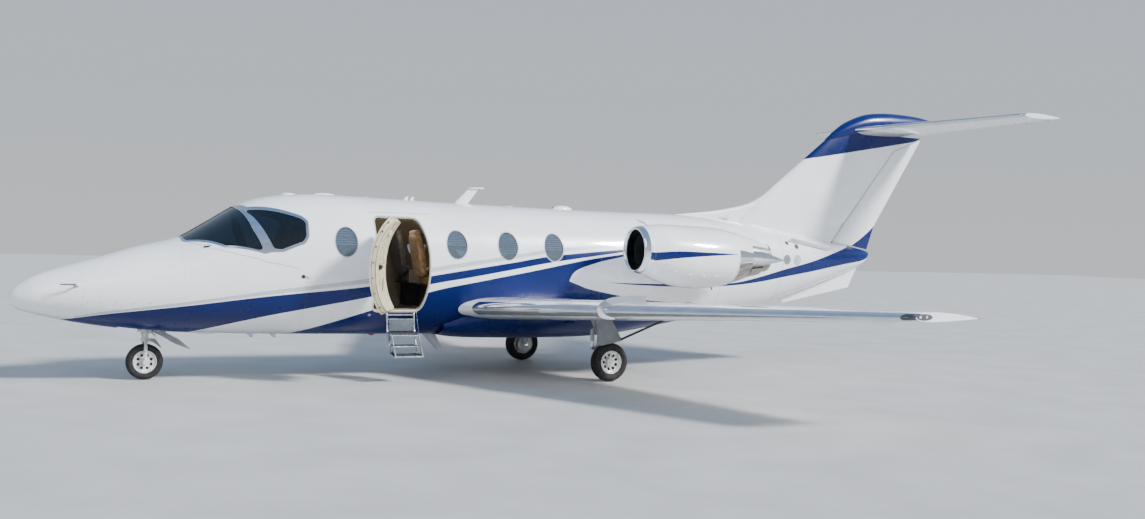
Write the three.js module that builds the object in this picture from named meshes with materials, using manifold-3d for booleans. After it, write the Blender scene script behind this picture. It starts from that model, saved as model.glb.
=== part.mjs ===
// A twin-engined light business jet with a T-tail, parked on its wheels with the cabin door open.
// Units are millimetres, +Z is up, the nose points to -X and the port side to -Y.
// Stations are distances aft of the nose tip. The origin is on the ground, halfway along the aircraft.

import * as THREE from "three";
import { mergeVertices } from "three/addons/utils/BufferGeometryUtils.js";
import Module from "manifold-3d";

const wasm = await Module();
wasm.setup();

// Driving dimensions
const LENGTH = 14750;
const GAP = 0.3;                 // between fitted pieces
const RUNNING_GAP = 8;           // between a moving panel and its frame
const WALL = 60;                 // cabin skin, frames and lining together
const TAIL_WALL = 34;
const AROUND = 24;               // points round a body section

const COCKPIT_FRONT = 1930;
const CABIN_FRONT = 3400;
const CABIN_BACK = 7600;
const RADOME_BACK = 560;
const SILL = 880;                // side panels run from the sill to the eaves
const EAVES = 2170;
const FLOOR_TOP = 900;

const DOOR = { front: 4300, back: 5030, low: 905, high: 2140, slant: 0.62, waistY: 840, corner: 80, open: 118 };
const DOOR_HINGE = { x: 4288, y: -872, pin: 6, heights: [1300, 1640], cheek: 22, lug: 14 };
const WINDOW = { width: 300, height: 385, z: 1800, at: [3900, 4655, 5415, 6162, 6860] };

const WING = {
  rootY: 950, tipY: 6625, innerY: 600, rootX: 5590, rootZ: 966, sweep: 0.4204, dihedral: 0.0492,
  rootChord: 2300, taper: 0.2283, rootThick: 0.132, tipThick: 0.113, rootTwist: 2.5, tipTwist: 0.5,
};
const NOSE_WHEEL = { x: 1583, radius: 225, width: 112, rim: 140 };
const MAIN_WHEEL = { x: 7440, y: 1420, radius: 265, width: 172, rim: 155 };
const FAN_SHAFT = 30;
const ENGINE = { y: 1420, z: 1745, fanX: 8330, ductRadius: 285 };

// Fuselage sections: station, half width, top, bottom, height of the widest point, fullness
const FUSELAGE = [
  [0, 14, 1024, 996, 1010, 2],
  [40, 92, 1105, 925, 1012, 2],
  [120, 172, 1180, 873, 1020, 2],
  [290, 285, 1290, 820, 1045, 2],
  [600, 412, 1402, 752, 1080, 2],
  [1000, 522, 1525, 683, 1115, 2],
  [1450, 612, 1668, 628, 1155, 2.02],
  [1930, 684, 1800, 598, 1200, 2.05],
  [2270, 728, 1998, 585, 1265, 2.08],
  [2620, 768, 2216, 576, 1345, 2.12],
  [2920, 794, 2328, 570, 1410, 2.15],
  [3300, 816, 2390, 565, 1455, 2.18],
  [3750, 832, 2412, 560, 1475, 2.2],
  [4400, 840, 2402, 556, 1480, 2.2],
  [5600, 840, 2377, 552, 1480, 2.2],
  [7600, 828, 2350, 560, 1475, 2.2],
  [8360, 798, 2350, 598, 1500, 2.18],
  [9140, 738, 2352, 691, 1560, 2.12],
  [10000, 645, 2318, 815, 1630, 2.08],
  [10700, 550, 2255, 941, 1670, 2.05],
  [11400, 440, 2155, 1120, 1700, 2],
  [12100, 315, 2036, 1335, 1725, 2],
  [12700, 198, 1945, 1540, 1760, 2],
  [13000, 122, 1893, 1680, 1790, 2],
  [13090, 60, 1868, 1795, 1832, 2],
];

// Colours, from the photograph
const paint = (colour, roughness, metalness) => new THREE.MeshStandardMaterial({ color: colour, roughness, metalness });
const MATERIAL = {
  white: paint(0xeef1f4, 0.25, 0.1),
  blue: paint(0x12306e, 0.25, 0.1),
  polished: paint(0xc9ced6, 0.12, 1),
  steel: paint(0x9a9da1, 0.35, 0.9),
  gearGrey: paint(0xa7abad, 0.45, 0.5),
  rubber: paint(0x1b1b1c, 0.9, 0),
  glass: paint(0x33404c, 0.08, 0),
  lining: paint(0xcdbf9f, 0.7, 0),
  leather: paint(0x8a6f52, 0.6, 0),
  carpet: paint(0x2c2a29, 0.95, 0),
  darkTrim: paint(0x202226, 0.7, 0),
};

const aircraft = new THREE.Group();
const stations = new THREE.Group();
stations.position.x = -LENGTH / 2;
aircraft.add(stations);

// Solids: a Manifold is made from a closed geometry, turned right side out if it has to be
function solid(geometry) {
  const bare = (geometry.index ? geometry.toNonIndexed() : geometry.clone());
  bare.deleteAttribute("normal");
  bare.deleteAttribute("uv");
  const merged = mergeVertices(bare, 1e-3);
  const triVerts = new Uint32Array(merged.index.array);
  const make = () => new wasm.Manifold(new wasm.Mesh({
    numProp: 3, vertProperties: merged.attributes.position.array, triVerts,
  }));
  const made = make();
  if (made.volume() >= 0) return made;
  for (let i = 0; i < triVerts.length; i += 3) {
    [triVerts[i + 1], triVerts[i + 2]] = [triVerts[i + 2], triVerts[i + 1]];
  }
  return make();
}

function geometryOf(made) {
  const mesh = made.getMesh();
  const position = new Float32Array(mesh.numVert * 3);
  for (let i = 0; i < mesh.numVert; i++) {
    position.set(mesh.vertProperties.subarray(i * mesh.numProp, i * mesh.numProp + 3), i * 3);
  }
  const geometry = new THREE.BufferGeometry()
    .setAttribute("position", new THREE.BufferAttribute(position, 3))
    .setIndex(new THREE.BufferAttribute(new Uint32Array(mesh.triVerts), 1));
  geometry.computeVertexNormals();
  return geometry;
}

const join = (parts) => parts.reduce((all, part) => all.add(part));
const largest = (made) => made.decompose().sort((a, b) => b.volume() - a.volume())[0];

function add(name, made, material) {
  const mesh = new THREE.Mesh(geometryOf(made), material);
  mesh.name = name;
  stations.add(mesh);
}

function mirrored(made) {
  const geometry = geometryOf(made);
  return solid(geometry.applyMatrix4(new THREE.Matrix4().makeScale(1, -1, 1)));
}

// Adds a starboard solid and its port mirror image
function addPair(name, made, material) {
  add(name + "_right", made, material);
  add(name + "_left", mirrored(made), material);
}

// A closed skin through rings of points. Open ends get flat caps; a loop joins its last ring to its first.
function loft(rings, loop = false) {
  const n = rings[0].length;
  const position = rings.flat(2);
  const index = [];
  const bands = loop ? rings.length : rings.length - 1;
  for (let r = 0; r < bands; r++) {
    const a = r * n;
    const b = ((r + 1) % rings.length) * n;
    for (let i = 0; i < n; i++) {
      const j = (i + 1) % n;
      const mirrorSide = i >= n / 4 && i < (3 * n) / 4;
      if (mirrorSide) index.push(a + i, b + i, a + j, b + i, b + j, a + j);
      else index.push(a + i, b + i, b + j, a + i, b + j, a + j);
    }
  }
  if (!loop) {
    for (const [ring, start, flip] of [[rings[0], 0, false], [rings.at(-1), (rings.length - 1) * n, true]]) {
      const middle = [0, 1, 2].map((k) => ring.reduce((sum, p) => sum + p[k], 0) / n);
      const centre = position.length / 3;
      position.push(...middle);
      for (let i = 0; i < n; i++) {
        const j = (i + 1) % n;
        index.push(...(flip ? [centre, start + j, start + i] : [centre, start + i, start + j]));
      }
    }
  }
  const geometry = new THREE.BufferGeometry()
    .setAttribute("position", new THREE.Float32BufferAttribute(position, 3))
    .setIndex(index);
  return solid(geometry);
}

// An outline in the other two axes, drawn out along one axis from low to high
function prism(axis, outline, low, high) {
  const shape = new THREE.Shape(outline.map(([u, v]) => new THREE.Vector2(u, v)));
  const geometry = new THREE.ExtrudeGeometry(shape, { depth: high - low, bevelEnabled: false });
  const turn = {
    x: new THREE.Matrix4().set(0, 0, 1, low, 1, 0, 0, 0, 0, 1, 0, 0, 0, 0, 0, 1),
    y: new THREE.Matrix4().set(1, 0, 0, 0, 0, 0, -1, high, 0, 1, 0, 0, 0, 0, 0, 1),
    z: new THREE.Matrix4().set(1, 0, 0, 0, 0, 1, 0, 0, 0, 0, 1, low, 0, 0, 0, 1),
  }[axis];
  return solid(geometry.applyMatrix4(turn));
}

const box = (x0, x1, y0, y1, z0, z1) => prism("z", [[x0, y0], [x1, y0], [x1, y1], [x0, y1]], z0, z1);

// A round bar between two points, thinner at its end if a second radius is given
function rod(from, to, radius, sides = 10, endRadius = radius) {
  const a = new THREE.Vector3(...from);
  const b = new THREE.Vector3(...to);
  const geometry = new THREE.CylinderGeometry(endRadius, radius, a.distanceTo(b), sides);
  const turn = new THREE.Quaternion().setFromUnitVectors(new THREE.Vector3(0, 1, 0), b.clone().sub(a).normalize());
  geometry.applyQuaternion(turn).translate(...a.add(b).multiplyScalar(0.5));
  return solid(geometry);
}

// A profile of [radius, distance along the axis] points, turned about a line along Y
function turned(profile, x, y, z, sides) {
  const geometry = new THREE.LatheGeometry(profile.map(([r, h]) => new THREE.Vector2(r, h)), sides);
  return solid(geometry.translate(x, y, z));
}

// An ellipse with its middle at u, v
function ellipse(u, v, width, height, points = 12) {
  const outline = [];
  for (let i = 0; i < points; i++) {
    const angle = (2 * Math.PI * i) / points;
    outline.push([u + (width / 2) * Math.cos(angle), v + (height / 2) * Math.sin(angle)]);
  }
  return outline;
}

// The table's columns at any station, on a smooth curve through its rows
function sectionAt(table, x) {
  let i = 0;
  while (i < table.length - 2 && x > table[i + 1][0]) i++;
  const a = table[i];
  const b = table[i + 1];
  const before = table[Math.max(i - 1, 0)];
  const after = table[Math.min(i + 2, table.length - 1)];
  const span = b[0] - a[0];
  const t = (x - a[0]) / span;
  const slopeA = (k) => (before === a ? (b[k] - a[k]) / span : (b[k] - before[k]) / (b[0] - before[0]));
  const slopeB = (k) => (after === b ? (b[k] - a[k]) / span : (after[k] - a[k]) / (after[0] - a[0]));
  return a.map((_, k) =>
    (2 * t ** 3 - 3 * t ** 2 + 1) * a[k] + (t ** 3 - 2 * t ** 2 + t) * span * slopeA(k) +
    (3 * t ** 2 - 2 * t ** 3) * b[k] + (t ** 3 - t ** 2) * span * slopeB(k));
}

// One body section: half ovals above and below the widest point, grown outwards by grow
function bodyRing(x, halfWidth, top, bottom, waist, fullness, grow = 0) {
  const ring = [];
  for (let i = 0; i < AROUND; i++) {
    const angle = (2 * Math.PI * i) / AROUND;
    const c = Math.cos(angle);
    const s = Math.sin(angle);
    const rise = s > 0 ? top - waist + grow : waist - bottom + grow;
    ring.push([
      x,
      (halfWidth + grow) * Math.sign(c) * Math.abs(c) ** (2 / fullness),
      waist + rise * Math.sign(s) * Math.abs(s) ** (2 / fullness),
    ]);
  }
  return ring;
}

function body(table, xs, grow = 0) {
  return loft(xs.map((x) => {
    const [, halfWidth, top, bottom, waist, fullness] = sectionAt(table, x);
    return bodyRing(x, halfWidth, top, bottom, waist, fullness, grow);
  }));
}

const NOSE_XS = [0, 20, 55, 120, 220, 380, RADOME_BACK];
const BAY_XS = [RADOME_BACK, 800, 1100, 1450, 1700, COCKPIT_FRONT];
const COCKPIT_XS = [COCKPIT_FRONT, 2150, 2400, 2620, 2790, 3050, CABIN_FRONT];
const CABIN_XS = [CABIN_FRONT, 3750, 4400, 5600, 6600, CABIN_BACK];
const TAIL_XS = [CABIN_BACK, 8360, 9140, 10000, 10700, 11400, 12100, 12700, 13000, 13090];
const slice = (x0, x1) => box(x0, x1, -3000, 3000, 0, 5000);
const wholeHull = body(FUSELAGE, [...COCKPIT_XS, ...CABIN_XS.slice(1), ...TAIL_XS.slice(1)]);
const hullCutter = body(FUSELAGE, [...COCKPIT_XS, ...CABIN_XS.slice(1), ...TAIL_XS.slice(1)], GAP);
const INSIDE_XS = [COCKPIT_FRONT - 5, 2400, 2620, 2790, CABIN_FRONT, 4400, 5600, CABIN_BACK + 5];
const cabinSpace = body(FUSELAGE, INSIDE_XS, -WALL);
const fittingSpace = body(FUSELAGE, INSIDE_XS, -WALL - GAP);

// Cockpit glass fills its openings. A strip of cabin glass lies in a recess behind its row of openings
const GLASS = { depth: 18, thick: 10, lap: 14 };
const glassSkin = body(FUSELAGE, [...COCKPIT_XS, ...CABIN_XS.slice(1)], -GLASS.depth)
  .subtract(body(FUSELAGE, [COCKPIT_FRONT - 5, ...COCKPIT_XS.slice(1), ...CABIN_XS.slice(1, -1), CABIN_BACK + 5],
    -GLASS.depth - GLASS.thick));
const glassRecess = body(FUSELAGE, [...COCKPIT_XS, ...CABIN_XS.slice(1)], -GLASS.depth + GAP);

// Windscreen and side window outlines in side view, and the centre post between the two screens
const SCREEN = [[1985, 1772], [2880, 1655], [2612, 2190], [2560, 2330], [1950, 2000]];
const SIDE_WINDOW = [[2700, 2150], [2735, 2168], [3330, 2085], [3395, 2040], [3392, 1860], [3350, 1790], [3080, 1682], [2985, 1690]];
const POST = 30;

function grownOutline(outline, by) {
  const n = outline.length;
  const middle = [0, 1].map((k) => outline.reduce((sum, p) => sum + p[k], 0) / n);
  return outline.map(([u, v]) => {
    const length = Math.hypot(u - middle[0], v - middle[1]);
    return [u + ((u - middle[0]) * by) / length, v + ((v - middle[1]) * by) / length];
  });
}

function cockpitOpenings(grow) {
  const half = prism("y", grownOutline(SCREEN, grow), POST - grow, 1200)
    .add(prism("y", grownOutline(SIDE_WINDOW, grow), 250, 1200));
  return half.add(mirrored(half));
}

function cabinWindow(index, side, grow = 0) {
  const outline = ellipse(WINDOW.at[index], WINDOW.z, WINDOW.width + 2 * grow, WINDOW.height + 2 * grow);
  return side < 0 ? prism("y", outline, -1200, -300) : prism("y", outline, 300, 1200);
}
const LEFT_WINDOWS = [0, 2, 3, 4];
const RIGHT_WINDOWS = [0, 1, 2, 3, 4];

// A strip of the glass skin behind a row of windows
function windowStrip(first, last, side, grow, skin) {
  const low = WINDOW.at[first] - WINDOW.width / 2 - GLASS.lap - grow;
  const high = WINDOW.at[last] + WINDOW.width / 2 + GLASS.lap + grow;
  const y = side < 0 ? [-1200, -300] : [300, 1200];
  const tall = WINDOW.height / 2 + GLASS.lap + grow;
  return skin.intersect(box(low, high, ...y, WINDOW.z - tall, WINDOW.z + tall));
}

// The doorway is drawn in plan, with its back edge slanted so that the door swings clear of it
function doorway(inset) {
  const back = (y) => DOOR.back - inset - (DOOR.waistY - y) * DOOR.slant;
  const plan = [[DOOR.front + inset, -1050], [back(1050), -1050], [back(400), -400], [DOOR.front + inset, -400]];
  const low = DOOR.low + inset;
  const high = DOOR.high - inset;
  const x0 = DOOR.front + inset;
  const x1 = back(1050);
  const c = DOOR.corner;
  const side = [[x0 + c, low], [x1, low], [x1, high], [x0 + c, high], [x0 + c * 0.3, high - c * 0.3], [x0, high - c],
    [x0, low + c], [x0 + c * 0.3, low + c * 0.3]];
  return prism("z", plan, low, high).intersect(prism("y", side, -1050, -400));
}

function addFuselage() {
  const gearWell = box(1240, COCKPIT_FRONT - 120, -175, 175, 0, 1010);
  add("radome", body(FUSELAGE, NOSE_XS).intersect(slice(-10, RADOME_BACK - GAP)), MATERIAL.white);
  add("nose_section", body(FUSELAGE, BAY_XS).subtract(gearWell), MATERIAL.white);

  const wall = wholeHull.subtract(cabinSpace);
  const cockpit = wall.intersect(slice(COCKPIT_FRONT + GAP, CABIN_FRONT - GAP)).subtract(cockpitOpenings(0));
  add("cockpit_section", largest(cockpit), MATERIAL.white);
  const glassBack = slice(COCKPIT_FRONT + 20, CABIN_FRONT - 2);
  for (const [name, low, high] of [
    ["windscreen_right", POST + GAP, 1200],
    ["windscreen_left", -1200, -POST - GAP],
    ["cockpit_window_right", 250, 1200],
    ["cockpit_window_left", -1200, -250],
  ]) {
    const outline = name.startsWith("windscreen") ? SCREEN : SIDE_WINDOW;
    const region = prism("y", grownOutline(outline, -2 * GAP), low, high);
    add(name, largest(glassSkin.intersect(region).intersect(glassBack)), MATERIAL.glass);
  }

  const barrel = wall.intersect(slice(CABIN_FRONT, CABIN_BACK - GAP));
  const band = (low, high) => box(CABIN_FRONT - 50, CABIN_BACK + 50, -1200, 1200, low, high);
  let left = barrel.intersect(band(SILL + GAP, EAVES)).intersect(box(3000, 8000, -1200, 0, 0, 3000));
  let right = barrel.intersect(band(SILL + GAP, EAVES)).intersect(box(3000, 8000, 0, 1200, 0, 3000));
  for (const i of LEFT_WINDOWS) left = left.subtract(cabinWindow(i, -1));
  for (const i of RIGHT_WINDOWS) right = right.subtract(cabinWindow(i, 1));
  left = left.subtract(doorway(0));
  left = left.subtract(windowStrip(0, 0, -1, GAP, glassRecess)).subtract(windowStrip(2, 4, -1, GAP, glassRecess));
  right = right.subtract(windowStrip(0, 4, 1, GAP, glassRecess));
  const { x, y, pin, heights, cheek, lug } = DOOR_HINGE;
  for (const z of heights) {
    const ear = (z0) => box(x - 14, x + 11, y - 11, -800, z0, z0 + lug);
    left = join([left, ear(z - cheek - GAP - lug), ear(z + cheek + GAP), rod([x, y, z - cheek - lug], [x, y, z + cheek + lug], pin, 12)]);
  }
  add("cabin_side_left", left, MATERIAL.white);
  add("cabin_side_right", right, MATERIAL.white);
  add("cabin_roof", barrel.intersect(band(EAVES + GAP, 3000)), MATERIAL.white);
  add("cabin_belly", barrel.intersect(band(0, SILL)), MATERIAL.white);
  add("cabin_window_left_front", windowStrip(0, 0, -1, 0, glassSkin), MATERIAL.glass);
  add("cabin_windows_left", windowStrip(2, 4, -1, 0, glassSkin), MATERIAL.glass);
  add("cabin_windows_right", windowStrip(0, 4, 1, 0, glassSkin), MATERIAL.glass);

  add("aft_bulkhead", fittingSpace.intersect(slice(CABIN_BACK - 60, CABIN_BACK - GAP)), MATERIAL.lining);
  const tail = body(FUSELAGE, TAIL_XS)
    .subtract(body(FUSELAGE, [CABIN_BACK - 5, 8360, 9140, 10700, 12100], -TAIL_WALL));
  const { lowX, lowZ, highX, highZ, tube } = RUDDER;
  const along = (z) => [lowX + ((z - lowZ) * (highX - lowX)) / (highZ - lowZ), 0, z];
  add("tail_section", tail.add(ventralFin()).subtract(rod(along(1940), along(2080), tube + 0.7, 24)), MATERIAL.white);
}

function ventralFin() {
  const outline = [[11250, 1140], [11380, 1005], [12720, 1268], [12905, 1640], [12300, 1560]];
  return prism("y", outline, -14, 14);
}

function addDoor() {
  const skin = wholeHull.subtract(body(FUSELAGE, [COCKPIT_FRONT - 5, ...COCKPIT_XS.slice(1),
    ...CABIN_XS.slice(1, -1), CABIN_BACK + 5], -WALL - 30));
  let door = skin.intersect(doorway(RUNNING_GAP));
  const { x, y, pin, heights, cheek } = DOOR_HINGE;
  for (const z of heights) {
    const plan = [[x - 12, y - 12], [x + 110, y - 12], [x + 110, -815], [x + 26, -815], [x + 26, y + 18], [x - 12, y + 18]];
    door = door.add(prism("z", plan, z - cheek, z + cheek)).subtract(rod([x, y, z - 60], [x, y, z + 60], pin + 0.6, 16));
  }
  const hinge = new THREE.Group();
  hinge.position.set(DOOR_HINGE.x, DOOR_HINGE.y, 0);
  hinge.rotation.z = -THREE.MathUtils.degToRad(DOOR.open);
  const mesh = new THREE.Mesh(geometryOf(door).translate(-DOOR_HINGE.x, -DOOR_HINGE.y, 0), MATERIAL.white);
  mesh.name = "cabin_door";
  hinge.add(mesh);
  stations.add(hinge);
}

function addCabin() {
  const inside = (made) => made.intersect(fittingSpace);
  add("cabin_floor", inside(box(2650, CABIN_BACK - 62, -900, 900, FLOOR_TOP - 40, FLOOR_TOP)), MATERIAL.carpet);
  const panel = [[2150, 1500], [2560, 1500], [2640, 1640], [2720, 1690], [2480, 1760], [2150, 1720]];
  add("instrument_panel", inside(prism("y", panel, -800, 800)), MATERIAL.darkTrim);
  const seatAt = (x, y, facing, width) => {
    const side = [[-230, 330], [230, 330], [330, 1050], [240, 1090], [120, 470], [-250, 470]];
    const outline = side.map(([u, v]) => [x + facing * u, FLOOR_TOP + v]);
    const foot = box(x - 150, x + 150, y - width * 0.3, y + width * 0.3, FLOOR_TOP + GAP, FLOOR_TOP + 340);
    return prism("y", outline, y - width / 2, y + width / 2).add(foot);
  };
  const rail = (x0, x1, y) => box(x0, x1, y - 30, y + 30, FLOOR_TOP + GAP, FLOOR_TOP + 25);
  const rowOf = (xs, y, facings, width) =>
    join([...xs.map((x, i) => seatAt(x, y, facings[i], width)), rail(Math.min(...xs) - 150, Math.max(...xs) + 150, y)]);
  const cockpitSeats = join([seatAt(3080, 330, 1, 430), seatAt(3080, -330, 1, 430),
    box(3000, 3100, -330, 330, FLOOR_TOP + GAP, FLOOR_TOP + 25)]);
  add("cockpit_seats", inside(cockpitSeats), MATERIAL.leather);
  add("cabin_seats_left", inside(rowOf([5235, 6550], -390, [-1, 1], 460)), MATERIAL.leather);
  add("cabin_seats_right", inside(rowOf([4300, 5235, 6550], 390, [1, -1, 1], 460)), MATERIAL.leather);
}

// A control surface's round nose, a cone about its hinge line. The fixed part is cut to a larger one
function hingeCone(from, to, radiusFrom, radiusTo, clear) {
  return rod(from, to, radiusFrom + clear, 16, radiusTo + clear);
}

// Stub pins on a hinge line, from inside the surface's ends into the fixed part beyond them
function hingePins(at, y0, y1, gap, radius, sides) {
  return rod(at(y0 - gap - 28), at(y0 + 20), radius, sides).add(rod(at(y1 - 20), at(y1 + gap + 28), radius, sides));
}

// Wing sections: a cambered profile set by its own place along the span
const AIRFOIL_STEPS = 9;
function profile(chord, thick, camber) {
  const at = (f) => {
    const half = 5 * thick * (0.2969 * Math.sqrt(f) - 0.126 * f - 0.3516 * f * f + 0.2843 * f ** 3 - 0.1015 * f ** 4);
    return [half, camber * 4 * f * (1 - f)];
  };
  const edge = 0.0025;
  const upper = [];
  const lower = [];
  for (let i = 0; i <= AIRFOIL_STEPS; i++) {
    const f = 0.5 * (1 - Math.cos((Math.PI * i) / AIRFOIL_STEPS));
    const [half, middle] = at(f);
    upper.push([f * chord, (middle + half + edge * f) * chord]);
    if (i > 0) lower.push([f * chord, (middle - half - edge * f) * chord]);
  }
  return [...upper.reverse(), ...lower];
}

function wingSection(y, grow = 0) {
  const out = y - WING.rootY;
  const share = Math.max(0, Math.min(1, out / (WING.tipY - WING.rootY)));
  const chord = WING.rootChord - WING.taper * out;
  const thick = WING.rootThick + (WING.tipThick - WING.rootThick) * share;
  const twist = THREE.MathUtils.degToRad(WING.rootTwist + (WING.tipTwist - WING.rootTwist) * share);
  return { x: WING.rootX + WING.sweep * out, z: WING.rootZ + WING.dihedral * out, chord, thick, twist, grow };
}

function wingRing(y, shrink = 1, grow = 0, sink = 0) {
  const s = wingSection(y);
  const c = Math.cos(s.twist);
  const n = Math.sin(s.twist);
  return profile(s.chord * shrink, s.thick, 0.012).map(([u, v]) => {
    const w = v + Math.sign(v) * grow;
    const d = u + (grow ? (u > s.chord / 2 ? grow : -grow) : 0);
    return [s.x + s.chord * (1 - shrink) * 0.7 + d * c + w * n, y, s.z - d * n + w * c - sink];
  });
}

const WING_YS = [WING.innerY, WING.rootY, 3800, 6500];
const wingSolid = (grow = 0, sink = 0) => loft([...WING_YS.map((y) => wingRing(y, 1, grow, sink)),
  wingRing(6590, 0.97, grow, sink), wingRing(WING.tipY, 0.82, grow, sink)]);

// A patch of the wing in plan, between two shares of the chord and two places along the span
function patch(front, back, y0, y1) {
  const at = (y, f) => [wingSection(y).x + wingSection(y).chord * f, y];
  return prism("z", [at(y0, front), at(y0, back), at(y1, back), at(y1, front)], 500, 2000);
}

const FLAP = { hinge: 0.81, y0: 1010, y1: 4900, gap: 25, radius0: 68, radius1: 38, pin: 10 };
const SPOILER = { front: 0.66, back: 0.77, y0: 3000, y1: 4600, thick: 22, gap: 12, pin: 5, sink: 9, setback: 18 };

// A point on the spoiler's hinge line, just under the skin and behind its front edge
function spoilerHinge(y) {
  const s = wingSection(y);
  const share = SPOILER.front + SPOILER.setback / s.chord;
  const top = 5 * s.thick * (0.2969 * Math.sqrt(share) - 0.126 * share - 0.3516 * share ** 2 + 0.2843 * share ** 3 -
    0.1015 * share ** 4) + 0.0025 * share;
  const u = s.chord * share;
  const v = s.chord * (0.048 * share * (1 - share) + top) - SPOILER.sink;
  return [s.x + u * Math.cos(s.twist) + v * Math.sin(s.twist), y, s.z - u * Math.sin(s.twist) + v * Math.cos(s.twist)];
}

// A point of the wing's mean line at a place along the span and a share of the chord
function wingMiddle(y, share) {
  const s = wingSection(y);
  const u = s.chord * share;
  const v = s.chord * 0.012 * 4 * share * (1 - share);
  return [s.x + u * Math.cos(s.twist) + v * Math.sin(s.twist), y, s.z - u * Math.sin(s.twist) + v * Math.cos(s.twist)];
}

function addWing() {
  const whole = wingSolid().subtract(hullCutter);
  const line = (y) => wingMiddle(y, FLAP.hinge);
  const flapHole = patch(FLAP.hinge, 1.2, FLAP.y0, FLAP.y1)
    .add(hingeCone(line(FLAP.y0), line(FLAP.y1), FLAP.radius0, FLAP.radius1, RUNNING_GAP))
    .add(hingePins(line, FLAP.y0 + FLAP.gap, FLAP.y1 - FLAP.gap, FLAP.gap + 2, FLAP.pin + 0.6, 12));
  const spoilerHole = patch(SPOILER.front, SPOILER.back, SPOILER.y0, SPOILER.y1)
    .subtract(wingSolid(0, SPOILER.thick + RUNNING_GAP))
    .add(hingePins(spoilerHinge, SPOILER.y0 + SPOILER.gap, SPOILER.y1 - SPOILER.gap, SPOILER.gap + 2, SPOILER.pin + 0.5, 12));
  const wing = largest(whole.add(fence()).subtract(flapHole).subtract(spoilerHole));
  addPair("wing", wing, MATERIAL.white);

  const ends = [FLAP.y0 + FLAP.gap, FLAP.y1 - FLAP.gap];
  const nose = hingeCone(line(ends[0]), line(ends[1]), FLAP.radius0, FLAP.radius1, 0);
  const flap = wingSolid().intersect(patch(FLAP.hinge, 1.2, ...ends).add(nose)).intersect(box(5000, 9500, ...ends, 0, 2000));
  addPair("flap", largest(flap).add(hingePins(line, ...ends, FLAP.gap, FLAP.pin, 8)), MATERIAL.white);
  const spoiler = wingSolid().intersect(patch(SPOILER.front + 0.006, SPOILER.back - 0.006,
    SPOILER.y0 + SPOILER.gap, SPOILER.y1 - SPOILER.gap)).subtract(wingSolid(0, SPOILER.thick))
    .add(hingePins(spoilerHinge, SPOILER.y0 + SPOILER.gap, SPOILER.y1 - SPOILER.gap, SPOILER.gap, SPOILER.pin, 8));
  addPair("spoiler", spoiler, MATERIAL.white);
}

// The chordwise fence wraps the leading edge, further aft on top than below
function fence() {
  const y = 2970;
  const s = wingSection(y);
  const { x, z } = s;
  const outline = [[x + 60, z + 112], [x + 380, z + 190], [x + 700, z + 205], [x + 700, z + 60], [x + 120, z],
    [x + 420, z - 85], [x + 420, z - 150], [x + 200, z - 135], [x + 20, z - 90], [x - 45, z - 15], [x - 25, z + 55]];
  return prism("y", outline, y - 9, y + 9);
}

function addBellyFairing() {
  // station, half width, top, bottom, height of the widest point, fullness
  const table = [
    [5350, 560, 760, 553, 720, 2.2],
    [5600, 700, 900, 515, 800, 2.4],
    [6100, 790, 960, 500, 850, 2.6],
    [7300, 800, 960, 500, 850, 2.6],
    [8000, 730, 950, 535, 830, 2.5],
    [8700, 560, 900, 630, 820, 2.3],
    [9140, 330, 840, 692, 790, 2.2],
  ];
  const fairing = body(table, table.map((row) => row[0])).subtract(hullCutter)
    .subtract(wingSolid(1)).subtract(mirrored(wingSolid(1)));
  add("belly_fairing", largest(fairing), MATERIAL.blue);
}

// A round duct: outer rings going aft, inner rings coming back. Columns: station, radius, height of the axis
function duct(outer, inner, y, sides = 24) {
  const ring = ([x, r, z]) => {
    const points = [];
    for (let i = 0; i < sides; i++) {
      const angle = (2 * Math.PI * i) / sides;
      points.push([x, y + r * Math.cos(angle), z + r * Math.sin(angle)]);
    }
    return points;
  };
  return loft([...outer.map(ring), ...inner.map(ring)], true);
}

const NACELLE_OUTER = [[7930, 342, 1804], [8150, 396, 1772], [8450, 430, 1737], [8800, 438, 1722], [9150, 412, 1727],
  [9450, 348, 1738], [9560, 318, 1742]];
const NACELLE_INNER = [[9560, 300, 1742], [9300, ENGINE.ductRadius, 1745], [8250, ENGINE.ductRadius, 1745], [7930, 268, 1790]];
const LIP_OUTER = [[7930, 342, 1804], [7860, 332, 1807], [7800, 316, 1808], [7775, 299, 1808]];
const LIP_INNER = [[7785, 281, 1807], [7830, 268, 1803], [7930, 268, 1790]];

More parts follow.
